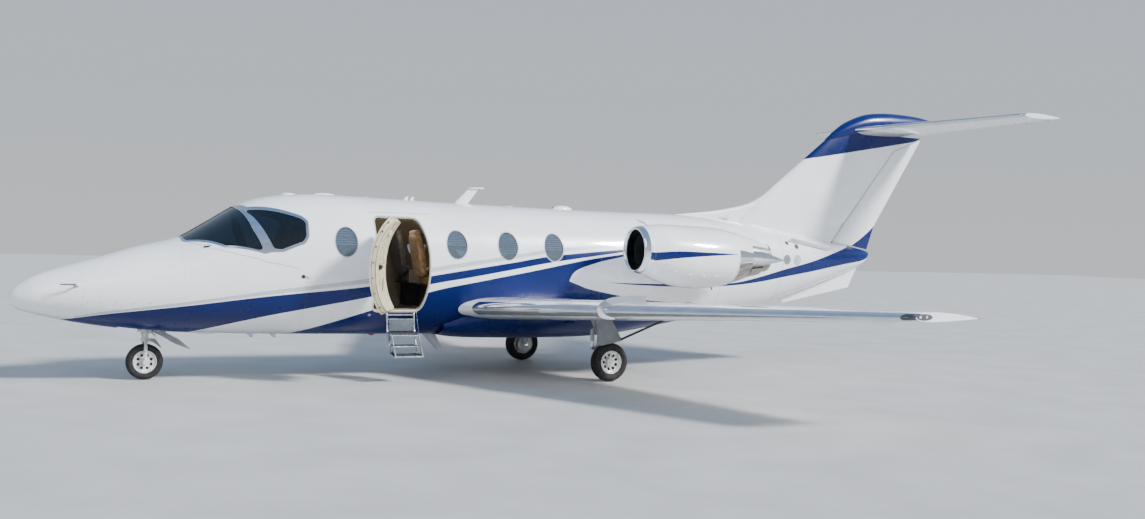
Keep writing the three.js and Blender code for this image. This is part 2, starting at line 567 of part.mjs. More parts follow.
function addEngine() {
  const { y, z, fanX, ductRadius } = ENGINE;
  const shift = (rows, by) => rows.map(([x, r, h]) => [x + by, r, h]);
  const nacelle = duct(NACELLE_OUTER, NACELLE_INNER, y);
  addPair("nacelle", nacelle, MATERIAL.white);
  addPair("inlet_lip", duct(shift(LIP_OUTER.slice().reverse(), -GAP), shift(LIP_INNER.slice().reverse(), -GAP), y), MATERIAL.polished);

  const about = (rows, sides) => {
    const geometry = new THREE.LatheGeometry(rows.map(([x, r]) => new THREE.Vector2(r, x)), sides);
    geometry.applyMatrix4(new THREE.Matrix4().set(0, 1, 0, 0, 1, 0, 0, y, 0, 0, -1, z, 0, 0, 0, 1));
    return solid(geometry);
  };
  const hub = about([[fanX - 130, 0], [fanX - 100, 40], [fanX - 50, 72], [fanX, 88], [fanX + 70, 88], [fanX + 70, 0]], 16);
  const blades = [];
  const BLADES = 14;
  for (let i = 0; i < BLADES; i++) {
    const blade = solid(new THREE.BoxGeometry(66, 10, ductRadius - 12 - 70).rotateZ(0.7)
      .translate(fanX + 34, 0, (ductRadius - 12 + 70) / 2).rotateX((2 * Math.PI * i) / BLADES).translate(0, y, z));
    blades.push(blade);
  }
  const shaft = rod([fanX + 50, y, z], [fanX + 150, y, z], FAN_SHAFT, 16);
  addPair("fan", join([hub, shaft, ...blades]), MATERIAL.steel);

  // The engine is one plain block, held in the cowl by its front and rear rings, with the jet pipe behind it
  const seat = ductRadius - 0.4;
  const block = about([[fanX + 85, 0], [fanX + 85, seat], [fanX + 180, seat], [fanX + 200, 235], [9280, 235],
    [9300, 270], [9400, 270], [9566, 266], [9960, 206], [9960, 190], [9600, 240], [9600, 90], [9830, 12], [9830, 0]], 24)
    .subtract(rod([fanX, y, z], [fanX + 155, y, z], FAN_SHAFT + 0.8, 24));
  const cone = (side) => loft([[9567, 158, 56], [9760, 144, 56], [10060, 92, 38], [10330, 10, 6]].map(([x, tall, thin]) =>
    ellipse(0, 0, 2 * thin, tall * 1.25, 12).map(([u, v]) => [x, y + side * (262 - (x - 9566) * 0.1) + u, z - (x - 9566) * 0.055 + v])));
  const bucket = (up) => {
    const arc = [];
    for (let i = 0; i <= 7; i++) {
      const angle = THREE.MathUtils.degToRad(34 + 16 * i);
      arc.push([Math.cos(angle), up * Math.sin(angle)]);
    }
    const ringAt = (x, r, t) => [...arc.map(([c, s]) => [x, y + r * c, z + r * s]),
      ...arc.slice().reverse().map(([c, s]) => [x, y + (r - t) * c, z + (r - t) * s])];
    return loft([ringAt(9566, 306, 60), ringAt(9760, 272, 62), ringAt(9900, 240, 42)]);
  };
  addPair("engine", join([block, cone(1), cone(-1), bucket(1), bucket(-1)]), MATERIAL.polished);

  const pylonRing = (py) => profile(1560, 0.1, 0).map(([u, v]) => [8120 + u, py, 1790 + v - u * 0.02]);
  const outerNacelle = duct(NACELLE_OUTER.map(([x, r, h]) => [x, r + GAP, h]), [[9560, 5, 1742], [7930, 5, 1804]], y);
  const pylon = loft([pylonRing(500), pylonRing(1100)]).subtract(hullCutter).subtract(outerNacelle);
  addPair("pylon", largest(pylon), MATERIAL.white);
}

// Fin sections: height, leading edge, trailing edge
const FIN = [[1700, 10020, 13010], [2310, 10420, 13226], [2850, 11100, 13574], [3350, 11735, 13897], [3830, 12340, 14205]];
const FIN_THICK = 0.085;
const FIN_WALL = 42;
const RUDDER = { lowX: 12360, lowZ: 1993, highX: 13616, highZ: 3568, gap: 26, radiusLow: 73, radiusHigh: 43, tube: 18 };
const finSolid = () => loft(FIN.map(([z, front, back]) => profile(back - front, FIN_THICK, 0).map(([u, v]) => [front + u, v, z])));

const TAILPLANE = {
  tipY: 2500, rootX: 12600, tipX: 13914, rootZ: 3868, tipZ: 4040, rootChord: 1480, tipChord: 850, thick: 0.095, hinge: 0.7,
  y0: 190, y1: 2400, gap: 25, radius0: 45, radius1: 28,
};
function tailSection(y) {
  const t = Math.abs(y) / TAILPLANE.tipY;
  const mix = (a, b) => a + (b - a) * t;
  return {
    x: mix(TAILPLANE.rootX, TAILPLANE.tipX), z: mix(TAILPLANE.rootZ, TAILPLANE.tipZ),
    chord: mix(TAILPLANE.rootChord, TAILPLANE.tipChord),
  };
}
function tailRing(y, shrink = 1, grow = 0) {
  const s = tailSection(y);
  return profile(s.chord * shrink, TAILPLANE.thick, 0).map(([u, v]) =>
    [s.x + s.chord * (1 - shrink) * 0.8 + u + (grow ? (u > s.chord / 2 ? grow : -grow) : 0), y, s.z + v + Math.sign(v) * grow]);
}
const tailSolid = (grow = 0) => loft([...[-1, -0.98].map((f) => tailRing(f * TAILPLANE.tipY, f < -0.99 ? 0.8 : 1, grow)),
  tailRing(0, 1, grow), ...[0.98, 1].map((f) => tailRing(f * TAILPLANE.tipY, f > 0.99 ? 0.8 : 1, grow))]);

function addTail() {
  const { lowX, lowZ, highX, highZ, gap, radiusLow, radiusHigh } = RUDDER;
  const slope = (highX - lowX) / (highZ - lowZ);
  const hingeX = (z) => lowX + (z - lowZ) * slope;
  // The rudder seen from the side, grown by clear above and below
  const rudderSide = (clear) => prism("y", [
    [hingeX(2013 - clear), 2013 - clear], [hingeX(3580 + clear), 3580 + clear],
    [14400, 3886 + clear], [14400, 1682 - clear]], -400, 400);
  const along = (z) => [hingeX(z), 0, z];
  const noseCone = (clear) => hingeCone(along(1940), along(3640), radiusLow, radiusHigh, clear);
  const tailCone = body(FUSELAGE, [8000, ...TAIL_XS.slice(1)], GAP);
  const fillet = [[9300, 2360], [10370, 2502], [10740, 2612], [11100, 2856], [11400, 3085], [11400, 2000], [9300, 2000]];
  const dorsal = prism("y", fillet, -46, 46);
  const inner = prism("y", [[10560, 1700], [hingeX(1700) - 130, 1700], [hingeX(3300) - 110, 3300], [11880, 3300],
    [11230, 2800], [10650, 2330]], -FIN_WALL, FIN_WALL);
  let fin = finSolid().add(dorsal).subtract(rudderSide(gap)).subtract(noseCone(RUNNING_GAP))
    .subtract(tailCone).subtract(inner);
  const fairing = tailFairing();
  fin = largest(fin.subtract(tailSolid(GAP)).subtract(fairing.grown));
  add("fin", fin, MATERIAL.white);

  const trimmed = prism("y", [[11000, 2025], [hingeX(2025), 2025], [14400, 1682], [14400, 3886],
    [hingeX(3580), 3580], [11000, 3560]], -400, 400);
  const tube = rod(along(1950), along(2080), RUDDER.tube, 16);
  add("rudder", largest(finSolid().intersect(rudderSide(0).add(noseCone(0).intersect(trimmed)))).add(tube), MATERIAL.white);

  const { hinge, y0, y1, gap: endGap, radius0, radius1 } = TAILPLANE;
  const hingePoint = (y) => [tailSection(y).x + tailSection(y).chord * hinge, y, tailSection(y).z];
  const cut = (a, b) => prism("z", [[hingePoint(a)[0], a], [hingePoint(a)[0] + 1500, a],
    [hingePoint(b)[0] + 1500, b], [hingePoint(b)[0], b]], 3500, 4500);
  const hole = cut(y0, y1).add(hingeCone(hingePoint(y0), hingePoint(y1), radius0, radius1, RUNNING_GAP))
    .add(hingePins(hingePoint, y0 + endGap, y1 - endGap, endGap + 2, 8.6, 12));
  const innerRing = (y) => {
    const { x, z, chord } = tailSection(y);
    const half = chord * TAILPLANE.thick * 0.36;
    return [[0.14, -0.55], [0.35, -1], [0.62, -0.6], [0.62, 0.6], [0.35, 1], [0.14, 0.55]].map(([u, v]) => [x + chord * u, y, z + half * v]);
  };
  const hollow = loft([-2300, 0, 2300].map(innerRing)).add(box(13050, 13250, -60, 60, 3700, 3880));
  const plane = tailSolid().subtract(hole).subtract(mirrored(hole)).subtract(hollow);
  add("tailplane", largest(plane), MATERIAL.white);
  add("tailplane_fairing", largest(fairing.made.subtract(tailSolid(GAP))), MATERIAL.blue);
  const [e0, e1] = [y0 + endGap, y1 - endGap];
  const elevator = tailSolid().intersect(cut(e0, e1).add(hingeCone(hingePoint(e0), hingePoint(e1), radius0, radius1, 0)))
    .intersect(box(13000, 15000, e0, e1, 3000, 5000));
  addPair("elevator", largest(elevator).add(hingePins(hingePoint, e0, e1, endGap, 8, 8)), MATERIAL.white);
}

function tailFairing() {
  // station, half width, top, bottom, height of the widest point, fullness
  const table = [
    [12150, 24, 3692, 3640, 3665, 2],
    [12350, 78, 3860, 3690, 3780, 2],
    [12570, 112, 4003, 3740, 3870, 2],
    [12930, 140, 4142, 3790, 3960, 2],
    [13300, 148, 4195, 3800, 3990, 2],
    [13700, 138, 4205, 3850, 4010, 2],
    [14100, 100, 4185, 3960, 4060, 2],
    [14410, 34, 4140, 4080, 4110, 2],
  ];
  const xs = table.map((row) => row[0]);
  return { made: body(table, xs), grown: body(table, xs, GAP) };
}

// Wheels: a tyre of round-shouldered section on a rim with a dished disc
const WHEEL_SIDES = 24;
function tyre({ x, radius, width, rim }, y) {
  const w = width / 2;
  const seat = w * 0.72;
  const section = [[rim, -seat], [rim + 12, -w * 0.88], [(rim + radius) / 2, -w], [radius - 24, -w * 0.82], [radius, -w * 0.36],
    [radius, w * 0.36], [radius - 24, w * 0.82], [(rim + radius) / 2, w], [rim + 12, w * 0.88], [rim, seat], [rim, -seat]];
  return turned(section, x, y, radius, WHEEL_SIDES);
}

function rim({ x, radius, width, rim: edge }, y, bore) {
  const w = width / 2;
  const seat = w * 0.72;
  const flange = [[edge - GAP, -seat], [edge - GAP, seat], [edge - 22, seat], [edge - 30, 20], [bore + 36, 20],
    [bore + 30, seat], [bore, seat], [bore, -seat], [bore + 30, -seat], [bore + 36, -20], [edge - 30, -20], [edge - 22, -seat],
    [edge - GAP, -seat]];
  return turned(flange, x, y, radius, WHEEL_SIDES);
}

const AXLE_BORE = 22;
const STEER_PIN = 30;
const AXLE_CLEAR = 0.6;

function addNoseGear() {
  const { x, radius, width } = NOSE_WHEEL;
  add("nose_tyre", tyre(NOSE_WHEEL, 0), MATERIAL.rubber);
  add("nose_wheel", rim(NOSE_WHEEL, 0, AXLE_BORE + AXLE_CLEAR), MATERIAL.gearGrey);
  const arm = width / 2 + 26;
  const fork = join([
    rod([x, -arm - 14, radius], [x, arm + 14, radius], AXLE_BORE, 16),
    ...[-1, 1].map((s) => rod([x, s * arm, radius], [x, s * arm, 472], 19, 10)),
    box(x - 34, x + 34, -arm - 19, arm + 19, 465, 500),
    rod([x, 0, 480], [x, 0, 690], STEER_PIN, 16),
    box(x + 20, x + 120, -14, 14, 470, 496),
  ]);
  add("nose_gear_fork", fork, MATERIAL.gearGrey);
  const leg = join([
    rod([x, 0, 566], [x, 0, 960], 46, 16),
    rod([x, -174.7, 930], [x, 174.7, 930], 28, 12),
    rod([x, 0, 650], [1785, 0, 965], 20, 10),
    box(1770, 1809, -174.7, 174.7, 935, 1000),
    box(x - 60, x + 60, -60, 60, 600, 640),
  ]).subtract(rod([x, 0, 500], [x, 0, 700], STEER_PIN + 0.7, 24));
  add("nose_gear_leg", leg, MATERIAL.gearGrey);
  const panel = (y) => prism("y", [[1680, 640], [1809, 640], [1809, 596], [1960, 520], [2140, 372], [1925, 455], [1780, 545], [1680, 590]],
    y - 6, y + 6);
  const doors = join([panel(-150), panel(150), rod([1720, -150, 620], [1720, 150, 620], 9, 8),
    box(1700, 1740, -174.7, 174.7, 634, 652)]);
  const skin = body(FUSELAGE, BAY_XS, GAP).subtract(box(1240, COCKPIT_FRONT - 120, -175, 175, 0, 1010));
  add("nose_gear_doors", largest(doors.subtract(skin).subtract(body(FUSELAGE, COCKPIT_XS, GAP))), MATERIAL.white);
}

function addMainGear() {
  const { x, y, radius, width } = MAIN_WHEEL;
  addPair("main_tyre", tyre(MAIN_WHEEL, y), MATERIAL.rubber);
  addPair("main_wheel", rim(MAIN_WHEEL, y, AXLE_BORE + 6 + AXLE_CLEAR), MATERIAL.gearGrey);
  const inner = y - width / 2 - 60;
  const leg = join([
    rod([x, inner - 30, radius], [x, y + width * 0.36 + 10, radius], AXLE_BORE + 6, 16),
    rod([x, inner, radius], [x - 60, inner, 500], 40, 12),
    rod([x - 60, inner, 440], [x - 60, inner, 1100], 56, 16),
    rod([x - 190, inner, 440], [x - 190, inner, 700], 26, 10),
    box(x - 210, x - 20, inner - 24, inner + 24, 420, 470),
    rod([x - 60, inner, 620], [x - 330, inner - 60, 1100], 24, 10),
    rod([x - 60, inner, 560], [x - 40, inner - 380, 900], 28, 10),
    box(x - 90, x - 20, inner, y + 80, 640, 700),
    box(x - 90, x - 20, inner, y + 80, 820, 870),
  ]).subtract(wingSolid(GAP)).subtract(hullCutter).subtract(bellyCutter());
  addPair("main_gear_leg", largest(leg), MATERIAL.gearGrey);
  const door = prism("y", [[x - 313, 990], [x - 30, 990], [x - 9, 819], [x + 70, 700], [x + 149, 557], [x - 195, 493]],
    y + 80 + GAP, y + 100);
  addPair("main_gear_door", door.subtract(wingSolid(GAP)), MATERIAL.white);
}

const bellyCutter = () => box(5300, 9200, -860, 860, 400, 960);

// The folding airstair hooks over the sill below the closed door
function addStair() {
  const x0 = 4490;
  const x1 = 4860;
  const upper = [[-645, 868], [-700, 884], [-722, 866], [-760, 640], [-940, 606]];
  const lower = [[-770, 590], [-905, 385], [-1120, 345]];
  const chain = (x, points, r) => points.slice(1).map((p, i) => rod([x, ...points[i]], [x, ...p], r, 6));
  const tread = (y0, z0, y1, z1) => prism("x", [[y0, z0], [y1, z1], [y1, z1 - 24], [y0, z0 - 24]], x0, x1);
  const made = join([
    ...[x0, x1].flatMap((x) => [...chain(x, upper, 13), ...chain(x, lower, 13), rod([x, -765, 640], [x, -772, 586], 12, 6),
      rod([x, -940, 606], [x, -1120, 345], 9, 6)]),
    tread(-722, 872, -700, 872), tread(-735, 810, -720, 810), tread(-775, 640, -940, 612), tread(-830, 478, -960, 470), tread(-915, 371, -1120, 355),
  ]);
  add("airstair", largest(made.subtract(hullCutter)), MATERIAL.polished);
}

addFuselage();
addDoor();
addCabin();
addWing();
addBellyFairing();
addEngine();
addTail();
addNoseGear();
addMainGear();
addStair();

export default aircraft;
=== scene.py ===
import math

import bmesh
import bpy
import numpy as np
from mathutils import Matrix, Vector
from mathutils.geometry import delaunay_2d_cdt


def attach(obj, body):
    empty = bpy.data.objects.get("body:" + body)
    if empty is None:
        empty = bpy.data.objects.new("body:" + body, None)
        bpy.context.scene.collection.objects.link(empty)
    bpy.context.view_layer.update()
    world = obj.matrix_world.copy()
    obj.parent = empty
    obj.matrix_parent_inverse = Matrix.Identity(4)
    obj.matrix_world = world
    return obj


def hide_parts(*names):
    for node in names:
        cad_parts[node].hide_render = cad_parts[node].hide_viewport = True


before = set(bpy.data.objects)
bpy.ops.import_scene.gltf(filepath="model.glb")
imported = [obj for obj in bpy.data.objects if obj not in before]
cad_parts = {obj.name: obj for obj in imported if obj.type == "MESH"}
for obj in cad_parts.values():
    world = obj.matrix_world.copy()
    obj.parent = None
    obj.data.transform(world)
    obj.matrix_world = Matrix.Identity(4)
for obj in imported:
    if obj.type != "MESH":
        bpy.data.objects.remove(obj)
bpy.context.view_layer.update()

# A business jet parked on its wheels. Lengths are in millimetres from the nose tip, x aft, y to
# starboard and z up from the ground, and turn to metres when a piece is placed.
NOSE_X = -7.375
GIRTH = 700.0
ROUND = 2 * math.pi * GIRTH
SIDES = (-1, 1)

# Camera first: where the photographer stood, with the lens and the tilt of the horizon
CAMERA_PLACE = (-8.093, -16.104, 1.954)
CAMERA_TURN = (27.208, -1.046, 1.839)
CAMERA_LENS = 38.688


def photographer():
    """The camera: heading from straight across, nose-down tilt, and roll, all in degrees."""
    heading, tilt, roll = (math.radians(a) for a in CAMERA_TURN)
    ahead = Vector((math.sin(heading) * math.cos(tilt), math.cos(heading) * math.cos(tilt), math.sin(tilt)))
    level = Vector((math.cos(heading), -math.sin(heading), 0))
    above = level.cross(ahead)
    right = level * math.cos(roll) + above * math.sin(roll)
    up = above * math.cos(roll) - level * math.sin(roll)
    data = bpy.data.cameras.new("photographer")
    data.lens = CAMERA_LENS
    data.sensor_width = 36
    data.clip_end = 300
    made = bpy.data.objects.new("photographer", data)
    turn = Matrix((right, up, -ahead)).transposed().to_4x4()
    made.matrix_world = Matrix.Translation(CAMERA_PLACE) @ turn
    bpy.context.scene.collection.objects.link(made)
    bpy.context.scene.camera = made


photographer()


# Finishes
FINISH = {}


def linear(code):
    """An sRGB hex colour as linear red, green, blue and alpha."""
    parts = [int(code[i:i + 2], 16) / 255 for i in (0, 2, 4)]
    return [c / 12.92 if c <= 0.04045 else ((c + 0.055) / 1.055) ** 2.4 for c in parts] + [1.0]


def add(tree, kind, inputs=None, **settings):
    """Adds a node: settings are its own properties, inputs are socket values or sockets to link from."""
    made = tree.nodes.new(kind)
    for key, value in settings.items():
        setattr(made, key, value)
    for key, value in (inputs or {}).items():
        if isinstance(value, bpy.types.NodeSocket):
            tree.links.new(value, made.inputs[key])
        else:
            made.inputs[key].default_value = value
    return made


def finish(name, colour, **values):
    """A new finish of one colour, with the shader's plain values by socket name."""
    made = bpy.data.materials.new(name)
    made.use_nodes = True
    shader = made.node_tree.nodes["Principled BSDF"]
    shader.inputs["Base Color"].default_value = linear(colour)
    for key, value in values.items():
        shader.inputs[key.replace("_", " ")].default_value = value
    FINISH[name] = made
    made.diffuse_color = linear(colour)
    return made.node_tree, shader


def drift(tree, size, detail, stretch):
    """The grey value of a noise over the piece itself, with patches of a size in millimetres."""
    place = add(tree, "ShaderNodeTexCoord")
    scaled = add(tree, "ShaderNodeMapping", {"Vector": place.outputs["Object"], "Scale": stretch})
    noise = add(tree, "ShaderNodeTexNoise", {"Vector": scaled.outputs[0], "Scale": 1000 / size,
                                             "Detail": detail})
    return noise.outputs["Fac"]


def patches(tree, shader, size, first, second, detail=3.0, stretch=(1, 1, 1)):
    """Lets two near colours drift into each other over patches of a size in millimetres."""
    ramp = add(tree, "ShaderNodeValToRGB", {"Fac": drift(tree, size, detail, stretch)})
    for stop, place, colour in zip(ramp.color_ramp.elements, (0.35, 0.65), (first, second)):
        stop.position = place
        stop.color = linear(colour)
    tree.links.new(ramp.outputs["Color"], shader.inputs["Base Color"])


def gloss(tree, shader, size, low, high, stretch=(1, 1, 1)):
    """Lets the roughness wander between two values over patches of a size in millimetres."""
    span = add(tree, "ShaderNodeMapRange", {"Value": drift(tree, size, 4.0, stretch), "From Min": 0.3,
                                            "From Max": 0.7, "To Min": low, "To Max": high})
    tree.links.new(span.outputs[0], shader.inputs["Roughness"])


def relief(tree, shader, size, depth, strength, detail=2.0, stretch=(1, 1, 1)):
    """Raises a fine relief of a grain size and a depth in millimetres."""
    bump = add(tree, "ShaderNodeBump", {"Height": drift(tree, size, detail, stretch),
                                        "Distance": depth / 1000, "Strength": strength})
    tree.links.new(bump.outputs[0], shader.inputs["Normal"])


def layered(name, colour, tone, shine=None, grain=None, **values):
    """A finish with its drifting colours, wandering gloss and relief, each given with its size first."""
    tree, shader = finish(name, colour, **values)
    patches(tree, shader, *tone)
    if shine:
        gloss(tree, shader, *shine)
    if grain:
        relief(tree, shader, *grain)


def topcoat(name, first, second, coat=1.0, mirror=0.5, wave=0.12):
    """Two-pack polyurethane sprayed on filled alloy: deep gloss under a faint orange peel.

    The real peel is 2 to 4 mm across; it is drawn at 120 mm so that its slow waves show in the gloss."""
    layered(name, first, (900, first, second), (400, 0.24, 0.34), (120, wave, 0.25), Coat_Weight=coat,
            Coat_Roughness=0.04, Specular_IOR_Level=mirror)


def bright_alloy(name, first, second, low, high, stretch, depth=0.05):
    """Bare metal buffed to a mirror: drawn-out polishing marks along the part."""
    layered(name, first, (60, first, second, 3.0, stretch), (90, low, high, stretch),
            (30, depth, 0.3, 3.0, stretch), Metallic=1.0)


def make_finishes():
    """Every finish on the aircraft, named for what it is; a few carry painted shade, and the cabin panes a
    painted reflection of the sky.
    """
    topcoat("white_topcoat", "F4F5F6", "EDEFF1")
    topcoat("blue_topcoat", "031B5E", "021650", 0.15, 0.25, 0.03)
    topcoat("silver_stripe", "C3C9D0", "B6BDC5", 0.6)
    # Buffed sheet on the leading edges and window frames: brushed along the sheet, mirror bright
    bright_alloy("polished_edge", "DDE1E4", "CDD2D6", 0.06, 0.16, (0.25, 0.25, 1))
    # Spun inlet lip: the tool's marks run round the lip and draw its highlight out
    bright_alloy("spun_lip", "E2E5E8", "D3D8DC", 0.04, 0.12, (1, 0.3, 0.3))
    # Heat-worked steel of the pipe and reverser: dull straw tint, streaked aft
    bright_alloy("hot_steel", "B9B6AE", "8F8B84", 0.18, 0.36, (0.12, 1, 1), 0.1)
    # Hard chrome on pistons, axles and pins: ground and buffed, nearly a mirror
    bright_alloy("chromed_steel", "E4E6E8", "D8DADC", 0.05, 0.1, (1, 1, 0.2))
    # Bare aluminium of the stair's rails, rubbed satin by hands and shoes
    bright_alloy("rubbed_alloy", "C9CCCE", "A9ADB0", 0.2, 0.38, (1, 1, 0.4))
    # Forged titanium fan blades: satin, faintly violet grey
    bright_alloy("blade_titanium", "8F9196", "75777D", 0.28, 0.42, (1, 0.3, 0.3))
    # Gloss enamel on gear legs: brushed on thick, so a little chalky, with grime in patches
    layered("leg_enamel", "C9CDCE", (70, "D2D5D5", "A9ADAC"), (50, 0.3, 0.55), (8, 0.15, 0.4),
            Coat_Weight=0.3, Coat_Roughness=0.2)
    # Wheel castings in white enamel, dusted by the brakes
    layered("wheel_enamel", "DADCDD", (45, "E6E7E7", "B3B2AD"), (30, 0.25, 0.5), Coat_Weight=0.4,
            Coat_Roughness=0.15)
    # Tyre rubber: carbon black, bloomed grey, matt with a fine mould grain
    layered("tyre_rubber", "1C1C1D", (60, "1B1B1C", "2B2A29"), (40, 0.62, 0.85), (4, 0.4, 0.5, 4.0),
            Specular_IOR_Level=0.35)
    # Seals and hoses: smooth black rubber, slightly shiny from handling
    layered("seal_rubber", "141415", (30, "121213", "1E1E1F"), (25, 0.4, 0.6), Specular_IOR_Level=0.4)
    # Stretched acrylic of the cockpit: clear with a smoky tint, hard gloss
    layered("smoked_acrylic", "6E7F8C", (1500, "5B6873", "4C5964"), Transmission_Weight=1.0, Roughness=0.015,
            IOR=1.49, Coat_Weight=0.3, Coat_Roughness=0.02)
    # Cabin panes: the same sheet, clearer, with a bluish veil that is a painted reflection of the sky
    layered("hazed_acrylic", "A9BACB", (1500, "AEBFCE", "9FB3C6"), Transmission_Weight=0.86, Roughness=0.02,
            IOR=1.49, Coat_Weight=0.3, Coat_Roughness=0.02)
    # Moulded liner of the door and its frame: cream paint on glass laminate, scuffed
    layered("cream_liner", "D9CDAE", (90, "E0D5B8", "C4B692"), (60, 0.4, 0.6), (3, 0.1, 0.4, 3.0),
            Coat_Weight=0.1, Coat_Roughness=0.4)
    # Side wall laminate indoors: pressed sheet, dull and even, in the shade of the cabin
    layered("wall_laminate", "8C8577", (200, "938C7D", "7E7769"), (60, 0.5, 0.7))
    # Dyed hide on the seats: grained, shiny where people sit; the grey copy is the same tan hide darkened as
    # painted shade
    for name, first, second in (("tan_hide", "A5825C", "7C5C3C"), ("grey_hide", "5C5A5A", "434244")):
        layered(name, first, (55, first, second, 5.0), (40, 0.34, 0.6), (5, 0.5, 0.6, 5.0), Sheen_Weight=0.1,
                Specular_IOR_Level=0.45)
    # Cut-pile wool carpet, dark grey; tufts are 3 mm and drawn at 6 mm so that they show
    layered("wool_carpet", "2B2A2B", (12, "343233", "201F20", 5.0), None, (6, 2.0, 0.8, 3.0),
            Sheen_Weight=0.3, Roughness=0.95)
    # Glareshield and trim: black vinyl embossed with a fine grain, matt. The same black is painted shade in
    # the small ports' holes and the louvre slots on the hull
    layered("black_vinyl", "1B1B1D", (60, "19191B", "252528"), (30, 0.5, 0.7), (3, 0.3, 0.5, 4.0))
    # Intake lining: flat dark grey paint, rubbed by the air. The same dark grey is painted shade on the
    # wheel's middle disc and in the outlet mouth
    layered("duct_lining", "26282B", (120, "2B2D30", "1D1F22"), (60, 0.45, 0.65))
    # Sealant in the gaps between panels: sunk below the paint, so it reads as a soft grey line
    layered("seam_shadow", "3A3D40", (80, "44474A", "303336"), (60, 0.6, 0.8))
    # Pleated polyester blind: soft grey-white, on the upper faces of its folds
    layered("pleated_blind", "C9CED3", (40, "D2D6DA", "B7BDC4"), None, (1.5, 0.2, 0.5), Sheen_Weight=0.2,
            Roughness=0.85)
    # The undersides of its folds: the same blind in a dark grey that is painted shade
    layered("blind_underside", "3F464E", (40, "464D55", "383F47"), Roughness=0.9)
    # Landing gear doors: flat grey enamel, a little chalky
    layered("gear_door_grey", "7F8388", (160, "84888D", "74787E"), (80, 0.4, 0.6))
    # Riser of the folding stair: vinyl cloth, matt and even, its dark blue-grey partly painted shade
    layered("riser_vinyl", "424C57", (60, "465059", "39434E"), Roughness=0.55)
    # Wing tip lens: smoked moulded glass, deep gloss
    layered("lamp_glass", "26282C", (90, "2C2E33", "1D1F23"), (60, 0.08, 0.16), Coat_Weight=1.0,
            Coat_Roughness=0.03, IOR=1.49)
    # Lamp covers: moulded clear, red and amber plastic over a bright cup
    for name, colour in (("clear_lamp", "E8ECEE"), ("red_lamp", "B3211C"), ("amber_lamp", "C8843A")):
        layered(name, colour, (30, colour, colour), (20, 0.05, 0.15), Coat_Weight=1.0, Coat_Roughness=0.02,
                IOR=1.49, Transmission_Weight=0.35)
    # Non-slip strip on treads: black grit in resin, dull and rough
    layered("grit_strip", "2A2B2C", (10, "303132", "1C1D1E", 5.0), (10, 0.75, 0.95), (2, 0.8, 0.9, 4.0))


make_finishes()


# Making pieces
def angles(count, share=0.0):
    """Even angles of a full turn, from nought or from a share of one step."""
    return [2 * math.pi * (k + share) / count for k in range(count)]


def blend(pair, t):
    """The value at a share t of the way between two."""
    return pair[0] + (pair[1] - pair[0]) * t


def there_and_back(rows):
    """Rows of (across, radius) carried on by their mirror image."""
    return rows + [(-u, r) for u, r in rows[::-1]]


def smooth_line(points, per=8):
    """A soft curve through points, with so many steps between each pair."""
    points = [np.array(p, float) for p in points]
    padded = [2 * points[0] - points[1]] + points + [2 * points[-1] - points[-2]]
    made = []
    for a, b, c, d in zip(padded, padded[1:], padded[2:], padded[3:]):
        for t in np.arange(per) / per:
            made.append(0.5 * (2 * b + (c - a) * t + (2 * a - 5 * b + 4 * c - d) * t * t
                               + (3 * b - a - 3 * c + d) * t ** 3))
    made.append(points[-1])
    return np.array(made)


def soft_corners(points, radius, steps=6):
    """A closed outline with its corners rounded to a radius, or to one radius for each corner."""
    points = [np.array(p, float) for p in points]
    made = []
    for i, here in enumerate(points):
        size = radius[i] if hasattr(radius, "__len__") else radius
        before, after = points[i - 1] - here, points[(i + 1) % len(points)] - here
        lengths = np.linalg.norm(before), np.linalg.norm(after)
        before, after = before / lengths[0], after / lengths[1]
        half = math.acos(max(-1, min(1, float(before @ after)))) / 2
        reach = min(size / math.tan(half), 0.48 * min(lengths)) if half > 0.01 else 0.0
        start, end = here + before * reach, here + after * reach
        for t in np.linspace(0, 1, steps + 1):
            made.append((1 - t) ** 2 * start + 2 * t * (1 - t) * here + t * t * end)
    return np.array(made)


def finer(loop, step, closed=True):
    """The loop with no side longer than step."""
    made = []
    ends = np.roll(loop, -1, axis=0) if closed else np.vstack([loop[1:], loop[-1:]])
    for a, b in zip(loop, ends):
        count = max(1, math.ceil(np.linalg.norm(b - a) / step))
        made += [a + (b - a) * i / count for i in range(count)]
    return np.array(made)


def oval(x, z, width, height, count=40):
    """An oval outline round a point."""
    turn = 2 * np.pi * np.arange(count) / count
    return np.stack([x + width / 2 * np.cos(turn), z + height / 2 * np.sin(turn)], axis=-1)


def in_loop(points, loop):
    """Which points lie inside a closed loop."""
    x, y = points[:, :1], points[:, 1:2]
    x0, y0 = loop.T
    x1, y1 = np.roll(loop, -1, axis=0).T
    rise = np.where(y1 == y0, 1e-9, y1 - y0)
    crossed = ((y0 > y) != (y1 > y)) & (x < (x1 - x0) * (y - y0) / rise + x0)
    return crossed.sum(axis=1) % 2 == 1


def near_loop(points, loop, reach):
    """Which points lie within reach of a closed loop."""
    found = np.zeros(len(points), bool)
    for a, b in zip(loop, np.roll(loop, -1, axis=0)):
        side = b - a
        share = np.clip(((points - a) @ side) / max(side @ side, 1e-9), 0, 1)
        found |= np.linalg.norm(points - a - share[:, None] * side, axis=1) < reach
    return found


